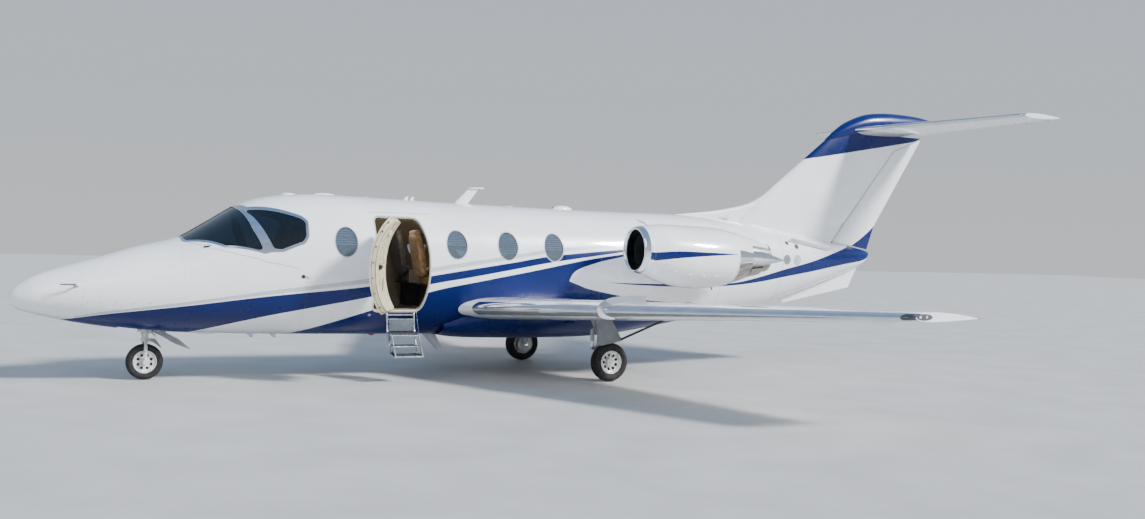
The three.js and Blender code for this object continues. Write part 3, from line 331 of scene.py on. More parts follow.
class Piece:
    """A piece while it is made: points in millimetres, faces, a finish for each face, given normals."""

    def __init__(self):
        self.points = []
        self.faces = []
        self.finishes = []
        self.normals = {}

    def take(self, points, faces, finish, normals=None):
        """Adds points and faces. finish is one name or a list; normals has one list for each face."""
        base = len(self.points)
        self.points += [tuple(float(c) for c in p) for p in points]
        for i, face in enumerate(faces):
            if normals is not None:
                self.normals[len(self.faces)] = normals[i]
            self.faces.append(tuple(base + k for k in face))
            self.finishes.append(finish if isinstance(finish, str) else finish[i])
        return self

    def join(self, other):
        """Adds another piece's points and faces."""
        start, base = len(self.faces), len(self.points)
        self.points += other.points
        self.faces += [tuple(base + k for k in face) for face in other.faces]
        self.finishes += other.finishes
        self.normals.update({start + i: n for i, n in other.normals.items()})
        return self

    def moved(self, change):
        """A copy with every point, and every given normal, taken through a 4 by 4 matrix."""
        made = Piece()
        turn = change.to_3x3()
        flip = turn.determinant() < 0
        made.points = [tuple(change @ Vector(p)) for p in self.points]
        made.faces = [face[::-1] if flip else face for face in self.faces]
        made.finishes = list(self.finishes)
        for i, normals in self.normals.items():
            turned = [tuple(turn @ Vector(n)) for n in normals]
            made.normals[i] = turned[::-1] if flip else turned
        return made

    def mirrored(self):
        """The same piece on the other side of the aircraft."""
        return self.moved(Matrix.Scale(-1, 4, (0, 1, 0)))

    def loft(self, rings, finish, caps=(True, True), closed=True):
        """Skins rings of equal count. finish may be a function of ring number and point number."""
        count = len(rings[0])
        faces, finishes = [], []
        for i in range(len(rings) - 1):
            for j in range(count if closed else count - 1):
                k = (j + 1) % count
                faces.append((i * count + j, i * count + k, (i + 1) * count + k, (i + 1) * count + j))
                finishes.append(finish if isinstance(finish, str) else finish(i, j))
        last = (len(rings) - 1) * count
        for wanted, face in zip(caps, (range(count - 1, -1, -1), range(last, last + count))):
            if wanted:
                faces.append(tuple(face))
                finishes.append(finish if isinstance(finish, str) else finish(0, 0))
        return self.take([p for ring in rings for p in ring], faces, finishes)

    def rod(self, start, end, radius, finish, end_radius=None, sides=20):
        """A round bar between two points."""
        start, end = Vector(start), Vector(end)
        turn = (end - start).to_track_quat("Z", "Y")
        rings = []
        for middle, size in ((start, radius), (end, radius if end_radius is None else end_radius)):
            rings.append([middle + turn @ Vector((size * math.cos(a), size * math.sin(a), 0))
                          for a in angles(sides)])
        return self.loft(rings, finish)

    def pipe(self, path, radius, finish, sides=12, flat=1.0):
        """A round or flattened bar along a path, its section kept upright."""
        path = [Vector(p) for p in path]
        rings = []
        side = None
        for i, here in enumerate(path):
            along = (path[min(i + 1, len(path) - 1)] - path[max(i - 1, 0)]).normalized()
            if side is None:
                side = along.cross(Vector((0, 0, 1)) if abs(along.z) < 0.9
                                   else Vector((1, 0, 0))).normalized()
            side = (side - along * side.dot(along)).normalized()
            other = along.cross(side)
            size = radius[i] if hasattr(radius, "__len__") else radius
            rings.append([here + side * (size * math.cos(a)) + other * (size * flat * math.sin(a))
                          for a in angles(sides)])
        return self.loft(rings, finish)

    def turned(self, rows, finish, middle=(0, 0, 0), axis="x", sides=64, closed=True):
        """Turns rows of (along, radius) about an axis through middle. A closed row makes a solid ring."""
        middle = Vector(middle)
        rings = []
        for along, radius in rows:
            ring = []
            for a in angles(sides):
                c, s = radius * math.cos(a), radius * math.sin(a)
                spot = {"x": (along, c, s), "y": (c, along, s), "z": (c, s, along)}[axis]
                ring.append(middle + Vector(spot))
            rings.append(ring)
        base = len(self.points)
        if not closed:
            return self.loft(rings, finish)
        self.loft(rings + rings[:1], finish, caps=(False, False))
        last = len(self.points) - sides
        self.faces = [tuple(k - last + base if k >= last else k for k in face) for face in self.faces]
        del self.points[last:]
        return self

    def plate(self, outline, low, high, finish, axis="y", edge=0.0):
        """A flat plate: outline in the plane across axis, between two places along it, edges softened."""
        outline = np.array([p[:2] for p in outline], float)
        middle = outline.mean(axis=0)
        rings = []
        shrink = [(low, 0), (high, 0)]
        if edge:
            shrink = [(low, edge), (low + edge, 0.0), (high - edge, 0.0), (high, edge)]
        for at, inset in shrink:
            ring = outline
            if inset:
                arms = middle - outline
                ring = outline + arms / np.maximum(np.linalg.norm(arms, axis=1), 1e-6)[:, None] * inset
            rings.append([{"y": (u, at, v), "x": (at, u, v), "z": (u, v, at)}[axis] for u, v in ring])
        return self.loft(rings, finish)

    def block(self, low, high, finish, edge=3.0):
        """A box between two corners with softened edges."""
        (x0, y0, z0), (x1, y1, z1) = low, high
        edge = min(edge, (x1 - x0) / 3, (y1 - y0) / 3, (z1 - z0) / 3)
        outline = soft_corners([(x0, z0), (x1, z0), (x1, z1), (x0, z1)], edge, 2)
        return self.plate(outline, y0, y1, finish, "y", edge * 0.7)

    def skin(self, surface, outline, finish, holes=(), paint=(), step=(60, 60), sense=1, lift=0.0, thick=0.0,
             inside=None, rim=None):
        """Meshes a curved sheet: surface takes (u, v) to points, and the loops are in (u, v) too."""
        longest = min(step)
        loops = [finer(np.array(loop, float), longest) for loop in (outline, *holes)]
        painted = [(finer(np.array(loop, float), longest), name) for loop, name in paint]
        low, high = loops[0].min(axis=0), loops[0].max(axis=0)
        counts = [max(2, int(round((high[k] - low[k]) / step[k]))) + 1 for k in (0, 1)]
        lines = [np.linspace(low[k], high[k], counts[k]) for k in (0, 1)]
        grid = np.stack(np.meshgrid(*lines, indexing="ij"), axis=-1).reshape(-1, 2)
        keep = in_loop(grid, loops[0])
        for hole in loops[1:]:
            keep &= ~in_loop(grid, hole)
        every = loops + [loop for loop, _ in painted]
        for loop in every:
            keep &= ~near_loop(grid, loop, longest * 0.3)
        points = [Vector(p) for p in grid[keep]]
        edges = []
        for loop in every:
            base = len(points)
            points += [Vector(p) for p in loop]
            edges += [(base + i, base + (i + 1) % len(loop)) for i in range(len(loop))]
        flat, _, faces, _, _, _ = delaunay_2d_cdt(points, edges, [], 0, 1e-4)
        flat = np.array([tuple(p) for p in flat])
        faces = np.array([f for f in faces if len(f) == 3])
        middles = flat[faces].mean(axis=1)
        keep = in_loop(middles, loops[0])
        for hole in loops[1:]:
            keep &= ~in_loop(middles, hole)
        faces, middles = faces[keep], middles[keep]
        names = np.array([finish] * len(faces), dtype=object)
        for loop, name in painted:
            names[in_loop(middles, loop)] = name
        place = surface(flat[:, 0], flat[:, 1])
        nudge = 0.5
        du = surface(flat[:, 0] + nudge, flat[:, 1]) - surface(flat[:, 0] - nudge, flat[:, 1])
        dv = surface(flat[:, 0], flat[:, 1] + nudge) - surface(flat[:, 0], flat[:, 1] - nudge)
        facing = np.cross(du, dv) * sense
        facing /= np.maximum(np.linalg.norm(facing, axis=1), 1e-9)[:, None]
        place = place + facing * lift
        shared, index = {}, np.zeros(len(place), int)
        for i, p in enumerate(np.round(place, 2)):
            index[i] = shared.setdefault(tuple(p), i)
        faces = index[faces]
        solid = (faces[:, 0] != faces[:, 1]) & (faces[:, 1] != faces[:, 2]) & (faces[:, 2] != faces[:, 0])
        faces, names = faces[solid], names[solid]
        if sense < 0:
            faces = faces[:, ::-1]
        used = np.unique(faces)
        renumber = np.zeros(len(place), int)
        renumber[used] = np.arange(len(used))
        faces, place, facing = renumber[faces], place[used], facing[used]
        all_points, all_faces = list(place), [tuple(f) for f in faces]
        all_names = list(names)
        all_normals = [[facing[k] for k in f] for f in faces]
        if thick:
            count = len(place)
            all_points += list(place - facing * thick)
            all_faces += [tuple(count + k for k in f[::-1]) for f in faces]
            all_names += [inside or finish] * len(faces)
            all_normals += [[-facing[k] for k in f[::-1]] for f in faces]
            sides = dict.fromkeys((a, b) for f in faces for a, b in zip(f, np.roll(f, -1)))
            for a, b in sides:
                if (b, a) not in sides:
                    quad = (b, a, count + a, count + b)
                    corner = [np.array(all_points[k]) for k in quad]
                    normal = np.cross(corner[1] - corner[0], corner[3] - corner[0])
                    normal = normal / max(np.linalg.norm(normal), 1e-9)
                    all_faces.append(quad)
                    all_names.append(rim or finish)
                    all_normals.append([normal] * 4)
        return self.take(all_points, all_faces, all_names, all_normals)

    def place(self, name, body="airframe", replaces=(), slot="white_paint", crease=32):
        """Turns the piece into an object in metres that rides on a body and stands for CAD nodes."""
        mesh = bpy.data.meshes.new(name)
        mesh.from_pydata([(x / 1000 + NOSE_X, y / 1000, z / 1000) for x, y, z in self.points], [],
                         self.faces)
        used = sorted(set(self.finishes))
        for finish_name in used:
            mesh.materials.append(FINISH[finish_name])
        mesh.polygons.foreach_set("material_index", [used.index(f) for f in self.finishes])
        free = [i for i in range(len(self.faces)) if i not in self.normals]
        if free:
            work = bmesh.new()
            work.from_mesh(mesh)
            work.faces.ensure_lookup_table()
            bmesh.ops.recalc_face_normals(work, faces=[work.faces[i] for i in free])
            work.to_mesh(mesh)
            work.free()
        mesh.polygons.foreach_set("use_smooth", [True] * len(mesh.polygons))
        mesh.set_sharp_from_angle(angle=math.radians(crease))
        if self.normals:
            given = [Vector(n.vector) for n in mesh.corner_normals]
            for i, normals in self.normals.items():
                start = mesh.polygons[i].loop_start
                for k, normal in enumerate(normals):
                    given[start + k] = Vector(normal)
            mesh.normals_split_custom_set(given)
        made = bpy.data.objects.new(name, mesh)
        bpy.context.scene.collection.objects.link(made)
        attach(made, body)
        if replaces:
            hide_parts(*replaces)
        return made

    def both(self, name, body="airframe", node=None, **more):
        """Places the piece to starboard and its mirror image to port, with the side's word in the names."""
        for word, made in (("right", self), ("left", self.mirrored())):
            made.place(name.format(word), body.format(word), [node.format(word)] if node else (), **more)


# Fuselage
# Station, half width, top, bottom, height of the widest point, fullness
FUSELAGE = [[0, 14, 1024, 996, 1010, 2], [40, 92, 1105, 925, 1012, 2], [120, 172, 1180, 873, 1020, 2],
            [290, 285, 1290, 820, 1045, 2], [600, 412, 1402, 752, 1080, 2], [1000, 522, 1525, 683, 1115, 2],
            [1450, 612, 1668, 628, 1155, 2.02], [1930, 684, 1800, 598, 1200, 2.05],
            [2270, 728, 1998, 585, 1265, 2.08], [2620, 768, 2216, 576, 1345, 2.12],
            [2920, 794, 2328, 570, 1410, 2.15], [3300, 816, 2390, 565, 1455, 2.18],
            [3750, 832, 2412, 560, 1475, 2.2], [4400, 840, 2402, 556, 1480, 2.2],
            [5600, 840, 2377, 552, 1480, 2.2], [7600, 828, 2350, 560, 1475, 2.2],
            [8360, 798, 2350, 598, 1500, 2.18], [9140, 738, 2352, 691, 1560, 2.12],
            [10000, 645, 2318, 815, 1630, 2.08], [10700, 550, 2255, 941, 1670, 2.05],
            [11400, 440, 2155, 1120, 1700, 2], [12100, 315, 2036, 1335, 1725, 2],
            [12700, 198, 1945, 1540, 1760, 2], [13000, 122, 1893, 1680, 1790, 2],
            [13090, 60, 1868, 1795, 1832, 2], ]


def section(rows, x):
    """Half width, top, bottom, waist and fullness at stations x, on smooth curves through the rows."""
    table = np.array(rows, float)
    at = table[:, 0]
    slope = np.empty_like(table)
    slope[1:-1] = (table[2:] - table[:-2]) / (at[2:] - at[:-2])[:, None]
    slope[0] = (table[1] - table[0]) / (at[1] - at[0])
    slope[-1] = (table[-1] - table[-2]) / (at[-1] - at[-2])
    x = np.atleast_1d(np.asarray(x, float))
    i = np.clip(np.searchsorted(at, x, side="right") - 1, 0, len(rows) - 2)
    span = (at[i + 1] - at[i])[:, None]
    t = (x - at[i])[:, None] / span
    made = ((2 * t ** 3 - 3 * t ** 2 + 1) * table[i] + (t ** 3 - 2 * t ** 2 + t) * span * slope[i]
            + (3 * t ** 2 - 2 * t ** 3) * table[i + 1] + (t ** 3 - t ** 2) * span * slope[i + 1])
    return made[:, 1:].T


def round_body(rows, grow=0.0):
    """The surface of a body: u is the station, v the girth from the top centre line down the port side."""
    def surface(u, v):
        half, top, bottom, waist, fullness = section(rows, u)
        across, up = np.sin(v / GIRTH), np.cos(v / GIRTH)
        rise = np.where(up > 0, top - waist, waist - bottom) + grow
        y = -(half + grow) * np.sign(across) * np.abs(across) ** (2 / fullness)
        z = waist + rise * np.sign(up) * np.abs(up) ** (2 / fullness)
        return np.stack([u, y, z], axis=-1)
    return surface


def girth_at(x, z, rows=FUSELAGE):
    """The port side girth of points given by station and height."""
    _, top, bottom, waist, fullness = section(rows, x)
    z = np.atleast_1d(np.asarray(z, float))
    share = np.clip((z - waist) / np.where(z > waist, top - waist, waist - bottom), -1, 1)
    return np.arccos(np.sign(share) * np.abs(share) ** (fullness / 2)) * GIRTH


def side_y(x, z, rows=FUSELAGE):
    """Half the width of the body at a station and a height."""
    half, top, bottom, waist, fullness = section(rows, x)
    z = np.atleast_1d(np.asarray(z, float))
    share = np.clip(np.abs((z - waist) / np.where(z > waist, top - waist, waist - bottom)), 0, 1)
    return half * (1 - share ** fullness) ** (1 / fullness)


def on_side(loop, side=-1, rows=FUSELAGE):
    """A loop of (station, height) wrapped on the body, on the port (-1) or starboard (1) side."""
    loop = np.array(loop, float)
    v = girth_at(loop[:, 0], loop[:, 1], rows)
    return np.stack([loop[:, 0], v if side < 0 else ROUND - v], axis=-1)


hull = round_body(FUSELAGE)


def over(loop):
    """A port loop carried over to starboard."""
    return np.stack([loop[:, 0], ROUND - loop[:, 1]], axis=-1)


def hoop_points(surface, x, count):
    """Points right round a body at a station."""
    return surface(np.full(count, float(x)), np.linspace(0, ROUND, count, endpoint=False))


# Paint edges in station and height, on each side
BAND_TOP = [(560, 750), (602, 764), (1080, 851), (1978, 964), (2927, 1091), (4197, 1231), (5051, 1380),
            (5571, 1469), (6205, 1574), (6865, 1685), (7923, 1793), (8400, 1830)]
BAND_LOW = [(8400, 1826), (7919, 1754), (6866, 1600), (6207, 1479), (5577, 1362), (5058, 1272), (4213, 1091),
            (2966, 841), (2205, 648), (2060, 590)]
BELLY_TOP = [(3230, 560), (3423, 617), (4248, 904), (5069, 1172), (5768, 1319), (6535, 1469), (7345, 1633),
             (7916, 1722), (8250, 1760)]
BELLY_BACK = [(8250, 1757), (7912, 1685), (7554, 1608), (7210, 1490), (7104, 1354), (7140, 1322),
              (7245, 1286), (7401, 1234), (7654, 1183), (7977, 1130), (8313, 1083), (8662, 1051),
              (9026, 1027), (9330, 1011), (9500, 740)]
TAIL_STRIPE = [(7700, 1326), (8260, 1315), (8720, 1312), (9400, 1310), (10030, 1338), (10510, 1425),
               (11080, 1560), (11640, 1680), (12200, 1835), (12790, 1990), (13085, 2060)]
TAIL_STRIPE_LOW = [(13085, 1790), (12848, 1712), (12400, 1646), (11640, 1520), (11050, 1432), (10560, 1355),
                   (9990, 1296), (9357, 1272), (8726, 1276), (8262, 1291)]


def half_belly(edge_points):
    """A paint edge on the port side, closed along the bottom centre line."""
    loop = on_side(edge_points)
    first, last = loop[0, 0], loop[-1, 0]
    return np.vstack([[(first, ROUND / 2)], loop, [(last, ROUND / 2)]])


def hull_paint():
    """Blue band, blue belly and tail stripe on both sides, with a silver line above the band."""
    band_top, band_low = smooth_line(BAND_TOP), smooth_line(BAND_LOW)
    band = half_belly(np.vstack([band_top, band_low]))
    belly = half_belly(np.vstack([smooth_line(BELLY_TOP), smooth_line(BELLY_BACK)]))
    stripe = on_side(np.vstack([smooth_line(TAIL_STRIPE), smooth_line(TAIL_STRIPE_LOW)]))
    gap = np.interp(band_top[:, 0], [700, 2500, 4500, 8000], [6, 14, 52, 46])
    wide = np.interp(band_top[:, 0], [700, 2500, 4500, 8000], [22, 46, 62, 40])
    keep = band_top[:, 0] > 700
    low = np.stack([band_top[:, 0], band_top[:, 1] + gap], axis=-1)[keep]
    high = np.stack([band_top[:, 0], band_top[:, 1] + gap + wide], axis=-1)[keep]
    silver = on_side(np.vstack([low, high[::-1]]))
    loops = [(silver, "silver_stripe"), (band, "blue_topcoat"), (belly, "blue_topcoat"),
             (stripe, "blue_topcoat")]
    return loops + [(over(loop), name) for loop, name in loops]


HULL_PAINT = hull_paint()


def paint_between(x0, x1):
    """The paint loops that reach a stretch of the hull."""
    return [(loop, name) for loop, name in HULL_PAINT if loop[:, 0].max() > x0 and loop[:, 0].min() < x1]


def hoop(x0, x1):
    """The outline of a full turn of skin between two stations."""
    return [(x0, 0), (x1, 0), (x1, ROUND), (x0, ROUND)]


def shell(x0, x1, **more):
    """A stretch of the painted hull between two stations."""
    return Piece().skin(hull, hoop(x0, x1), "white_topcoat", paint=paint_between(x0, x1), sense=-1, **more)


SCREEN = [(1975, 1765), (2420, 1712), (2870, 1660), (2740, 1930), (2608, 2178), (2575, 2238), (2330, 2085),
          (1960, 1842)]
SIDE_WINDOW = [(2700, 2150), (2735, 2168), (3330, 2085), (3395, 2040), (3392, 1860), (3350, 1790),
               (3080, 1682), (2985, 1690)]
SURROUND = [(1946, 1742), (2420, 1680), (2880, 1622), (2965, 1646), (3095, 1648), (3378, 1766),
            (3427, 1855), (3429, 2052), (3346, 2120), (2735, 2203), (2606, 2262), (2322, 2116), (1934, 1862)]
WINDOW = dict(width=300, height=385, z=1800, at=(3900, 4655, 5415, 6162, 6860))
DOOR = dict(front=4300, back=5030, low=905, high=2140, slant=0.62, waist=840, corner=84, open=118)
DOOR_HINGE = (4288, -872)
HINGE_HEIGHTS = (1300, 1640)


def screen_loop(side, grow=0.0):
    """The windscreen's edge, which stops short of the centre post; grow widens it."""
    loop = on_side(soft_corners(grown(SCREEN, grow), [40, 10, 45, 10, 30, 30, 10, 30]))
    loop[:, 1] = np.maximum(loop[:, 1], girth_of_y(loop[:, 0], 34 - grow))
    return loop if side < 0 else over(loop)


def surround_loop(side):
    """The edge of the polished sheet that frames both cockpit windows of a side."""
    loop = on_side(soft_corners(SURROUND, [30, 20, 60, 40, 60, 70, 70, 60, 60, 30, 30, 20, 30]))
    loop[:, 1] = np.maximum(loop[:, 1], girth_of_y(loop[:, 0], 6))
    return loop if side < 0 else over(loop)


def girth_of_y(x, y):
    """The girth from the top centre line at which the body is so far from its middle."""
    half, _, _, _, fullness = section(FUSELAGE, x)
    return np.arcsin(np.clip(y / half, 0, 1) ** (fullness / 2)) * GIRTH


def grown(outline, by):
    """An outline with each corner pushed away from its middle."""
    outline = np.array(outline, float)
    arms = outline - outline.mean(axis=0)
    return outline + arms / np.linalg.norm(arms, axis=1)[:, None] * by


def side_window_loop(side, grow=0.0):
    """The cockpit side window's edge."""
    return on_side(soft_corners(grown(SIDE_WINDOW, grow), [25, 25, 60, 60, 70, 70, 60, 50]), side)


def cabin_window_loop(index, side, grow=0.0):
    """A cabin window's edge."""
    return on_side(oval(WINDOW["at"][index], WINDOW["z"], WINDOW["width"] + 2 * grow,
                        WINDOW["height"] + 2 * grow), side)


def door_outline(inset=0.0):
    """The doorway's edge in station and height: its back edge leans forward above and below the waist."""
    low, high, width = DOOR["low"] + inset, DOOR["high"] - inset, 700
    rough = soft_corners([(0, low), (width, low), (width, high), (0, high)], DOOR["corner"] - inset, 8)
    front = DOOR["front"] + inset
    made = []
    for across, z in finer(rough, 40):
        back = DOOR["back"] - inset
        for _ in range(4):
            half = float(side_y(back, z)[0])
            back = DOOR["back"] - inset - (DOOR["waist"] - half) * DOOR["slant"]
        made.append((front + across / width * (back - front), z))
    return np.array(made)


def nose_well_loop():
    """The nose gear well's edge: round the bottom centre line."""
    half, _, _, _, fullness = section(FUSELAGE, np.array([1240, 1500, 1810]))
    reach = np.arcsin((176 / half) ** (fullness / 2)) * GIRTH
    middle = ROUND / 2
    return [(1238, middle - reach[0]), (1500, middle - reach[1]), (1812, middle - reach[2]),
            (1812, middle + reach[2]), (1500, middle + reach[1]), (1238, middle + reach[0])]


LEFT_WINDOWS = (0, 2, 3, 4)
RIGHT_WINDOWS = (0, 1, 2, 3, 4)


def make_fuselage():
    """Nose cone, nose, cockpit, cabin and tail skins, each a shell with its openings."""
    radome = shell(0, 559.5, step=(28, 46), thick=8, inside="duct_lining")
    tip = hoop_points(hull, 0, 48)
    radome.take([(0.0, 0.0, 1010.0), *tip], [(0, 1 + (i + 1) % 48, 1 + i) for i in range(48)],
                "white_topcoat")
    radome.place("nose_cone", replaces=["radome"], slot="white_composite")

    nose = shell(560.5, 1929.5, holes=[nose_well_loop()], step=(50, 46), thick=10, inside="leg_enamel")
    nose.block((1232, -170, 960), (1815, 170, 968), "leg_enamel")
    nose.block((1228, -172, 660), (1236, 172, 966), "leg_enamel", 1)
    nose.block((1813, -172, 640), (1821, 172, 966), "leg_enamel", 1)
    for y in (-180, 172):
        nose.block((1232, y, 690), (1817, y + 8, 966), "leg_enamel", 1)
    nose.place("nose_skin", replaces=["nose_section"])

    holes = [loop(side) for side in SIDES for loop in (screen_loop, side_window_loop)]
    cockpit = shell(1930.5, 3399.5, holes=holes, step=(46, 44), thick=40, inside="black_vinyl",
                    rim="seal_rubber")
    cockpit.place("cockpit_skin", replaces=["cockpit_section"])

    holes = [cabin_window_loop(i, -1) for i in LEFT_WINDOWS]
    holes += [cabin_window_loop(i, 1) for i in RIGHT_WINDOWS]
    holes.append(on_side(door_outline()))
    cabin = shell(3400.5, 7599.5, holes=holes, step=(60, 46), thick=56, inside="wall_laminate",
                  rim="cream_liner")
    cabin.place("cabin_skin", replaces=["cabin_side_left", "cabin_side_right", "cabin_roof", "cabin_belly"])

    tail = shell(7600.5, 13090, step=(66, 46), thick=10, inside="duct_lining")
    end = hoop_points(hull, 13090, 48)
    tail.take([tuple(end.mean(axis=0)), *end], [(0, 1 + i, 1 + (i + 1) % 48) for i in range(48)],
              "white_topcoat")
    keel = soft_corners([(11250, 1140), (11380, 1005), (12720, 1268), (12905, 1640), (12300, 1560)], 25)
    tail.plate(keel, -14, 14, "white_topcoat", "y", 6)
    tail.place("tail_skin", replaces=["tail_section"])


make_fuselage()


def make_glass():
    """Panes set below the skin, and the polished frames round the cockpit's."""
    for side, word in ((-1, "left"), (1, "right")):
        for name, loop in (("windscreen", screen_loop), ("cockpit_window", side_window_loop)):
            pane = Piece().skin(hull, loop(side, -0.6), "smoked_acrylic", step=(40, 40), sense=-1, lift=-6,
                                thick=12)
            pane.place(f"{name}_{word}_pane", replaces=[f"{name}_{word}"], slot="glass")
        surround = Piece().skin(hull, surround_loop(side), "polished_edge",
                                holes=[screen_loop(side, 1), side_window_loop(side, 1)], step=(30, 30),
                                sense=-1, lift=2.2, thick=4)
        surround.place(f"cockpit_frame_{word}", slot="polished")
    groups = (("cabin_window_left_front", -1, (0,)), ("cabin_windows_left", -1, (2, 3, 4)),
              ("cabin_windows_right", 1, RIGHT_WINDOWS))
    for node, side, numbers in groups:
        panes, rings = Piece(), Piece()
        for i in numbers:
            # Cabin panes, their bluish veil a painted reflection of the sky
            panes.skin(hull, cabin_window_loop(i, side, -0.6), "hazed_acrylic", step=(40, 40), sense=-1,
                       lift=-9, thick=10)
            rings.skin(hull, cabin_window_loop(i, side, 9), "silver_stripe",
                       holes=[cabin_window_loop(i, side, -4)], step=(16, 16), sense=-1, lift=1.2, thick=9)
        panes.place(f"{node}_pane", replaces=[node], slot="glass")
        rings.place(f"{node}_ring", slot="polished")


make_glass()


# Wings
WING = dict(root=950, tip=6625, inner=600, x=5590, z=966, sweep=0.4204, dihedral=0.0492, chord=2300,
            taper=0.2283, thick=(0.132, 0.113), twist=(2.5, 0.5), camber=0.012)
FLAP = dict(hinge=0.81, y0=1010, y1=4900, gap=25, nose=(68, 38), clear=8)
SPOILER = dict(front=0.66, back=0.77, y0=3000, y1=4600, gap=12, thick=22)
EDGE_STRIP = 105


def foil_half(f, thick):
    """Half the thickness of a section at shares f of its chord, as a share of the chord."""
    f = np.clip(f, 0, 1)
    half = 0.2969 * np.sqrt(f) - 0.126 * f - 0.3516 * f * f + 0.2843 * f ** 3 - 0.1015 * f ** 4
    return 5 * thick * half + 0.0025 * f


def wing_at(y):
    """Leading edge station, its height, chord, thickness and twist of the wing at a place along the span."""
    out = y - WING["root"]
    share = max(0.0, min(1.0, out / (WING["tip"] - WING["root"])))
    return (WING["x"] + WING["sweep"] * out, WING["z"] + WING["dihedral"] * out,
            WING["chord"] - WING["taper"] * out, blend(WING["thick"], share),
            math.radians(blend(WING["twist"], share)))


def wing_surface(y, f, side):
    """A point of the wing section, along the chord and above it, on the upper (1) or lower (-1) side."""
    _, _, chord, thick, _ = wing_at(y)
    return f * chord, (4 * WING["camber"] * f * (1 - f) + side * foil_half(f, thick)) * chord


def wing_place(y, u, w, shrink=1.0):
    """A point of the wing's own plane set in the aircraft; shrink draws the section in at the tip."""
    x, z, chord, _, twist = wing_at(y)
    u, w = u * shrink, w * shrink
    return (x + chord * (1 - shrink) * 0.7 + u * math.cos(twist) + w * math.sin(twist), y,
            z - u * math.sin(twist) + w * math.cos(twist))


def wing_hinge(y, f):
    """The middle of the section at a share of the chord, in the section's own plane."""
    up, low = wing_surface(y, f, 1), wing_surface(y, f, -1)
    return (up[0] + low[0]) / 2, (up[1] + low[1]) / 2


def nose_radius(part, y):
    """The radius of the round nose of a flap or an elevator at a place along the span."""
    first, last = part["y0"], part["y1"]
    return blend(part["nose"], (min(max(y, first), last) - first) / (last - first))


def hinge_pins(made, part, place, radius):
    """Stub pins at both ends of a flap or an elevator, along its hinge."""
    for inner, outer in ((part["y0"] - 1, part["y0"] + 30), (part["y1"] - 30, part["y1"] + 1)):
        made.rod(place(inner), place(outer), radius, "chromed_steel")


def wing_ring(y, cove, notch, shrink=1.0):
    """A closed wing section from the trailing edge over the top to the nose and back below.

    cove cuts it short in front of the flap; notch lowers the skin where the spoiler lies."""
    chord = wing_at(y)[2]
    lead = EDGE_STRIP / chord
    leading = [lead * (k / 7) ** 2 for k in range(7, 0, -1)]
    hinge = wing_hinge(y, FLAP["hinge"])
    radius = nose_radius(FLAP, y) + FLAP["clear"]

    def meets(side):
        """The share of the chord at which the skin reaches the flap's cove."""
        f = FLAP["hinge"]
        while math.dist(wing_surface(y, f, side), hinge) < radius:
            f -= 0.0005
        return f
    ends = (meets(1), meets(-1))
    behind = (SPOILER["back"] + 0.002,) * 2
    if ends[0] > SPOILER["back"]:
        behind = np.linspace(ends[0], SPOILER["back"], 3)[:-1]
    upper = [wing_surface(y, f, 1) for f in behind]
    depth = SPOILER["thick"] + FLAP["clear"] if notch else 0
    for f, low in ((SPOILER["back"], 0), (SPOILER["back"], depth), (SPOILER["front"], depth),
                   (SPOILER["front"], 0)):
        u, w = wing_surface(y, f, 1)
        upper.append((u, w - low))
    upper += [wing_surface(y, f, 1) for f in np.linspace(SPOILER["front"], lead, 14)[1:-1]]
    upper += [wing_surface(y, f, 1) for f in leading]
    lower = [wing_surface(y, f, -1) for f in leading[::-1]]
    lower += [wing_surface(y, f, -1) for f in np.linspace(lead, ends[1], 16)[1:]]
    back = []
    steps = 9
    if cove:
        first = math.atan2(lower[-1][1] - hinge[1], lower[-1][0] - hinge[0])
        last = math.atan2(upper[0][1] - hinge[1], upper[0][0] - hinge[0])
        first = first if first < 0 else first - 2 * math.pi
        last = last - 2 * math.pi if last > 0 else last
        for k in range(1, steps):
            a = first + (last - first) * k / steps
            back.append((hinge[0] + radius * math.cos(a), hinge[1] + radius * math.sin(a)))
    else:
        for k in range(1, 5):
            back.append(wing_surface(y, ends[1] + (1 - ends[1]) * k / 4, -1))
        for k in range(1, 5):
            back.append(wing_surface(y, 1 - (1 - ends[0]) * (k - 1) / 4, 1))
    ring = upper + [wing_surface(y, 0, 1)] + lower + back
    return [wing_place(y, u, w, shrink) for u, w in ring], len(upper)


def wing_fence():
    """The fence at 3 m: an even bright band that stands off the wing's nose, long above and short below."""
    y = 3000
    chord = wing_at(y)[2]
    path = [wing_surface(y, 600 / chord * (k / 10) ** 2, 1) for k in range(10, -1, -1)]
    path += [wing_surface(y, 170 / chord * (k / 6) ** 2, -1) for k in range(1, 7)]
    path = np.array(path)
    along = np.gradient(path, axis=0)
    out = np.stack([along[:, 1], -along[:, 0]], axis=-1) / np.linalg.norm(along, axis=1)[:, None]
    high = np.interp(np.arange(len(path)), [0, 10, len(path) - 1], [74, 84, 16])[:, None]
    loop = [wing_place(y, *spot) for spot in np.vstack([path + out * high, (path - out * 12)[::-1]])]
    return Piece().plate([(x, z) for x, _, z in loop], y - 9, y + 9, "polished_edge")


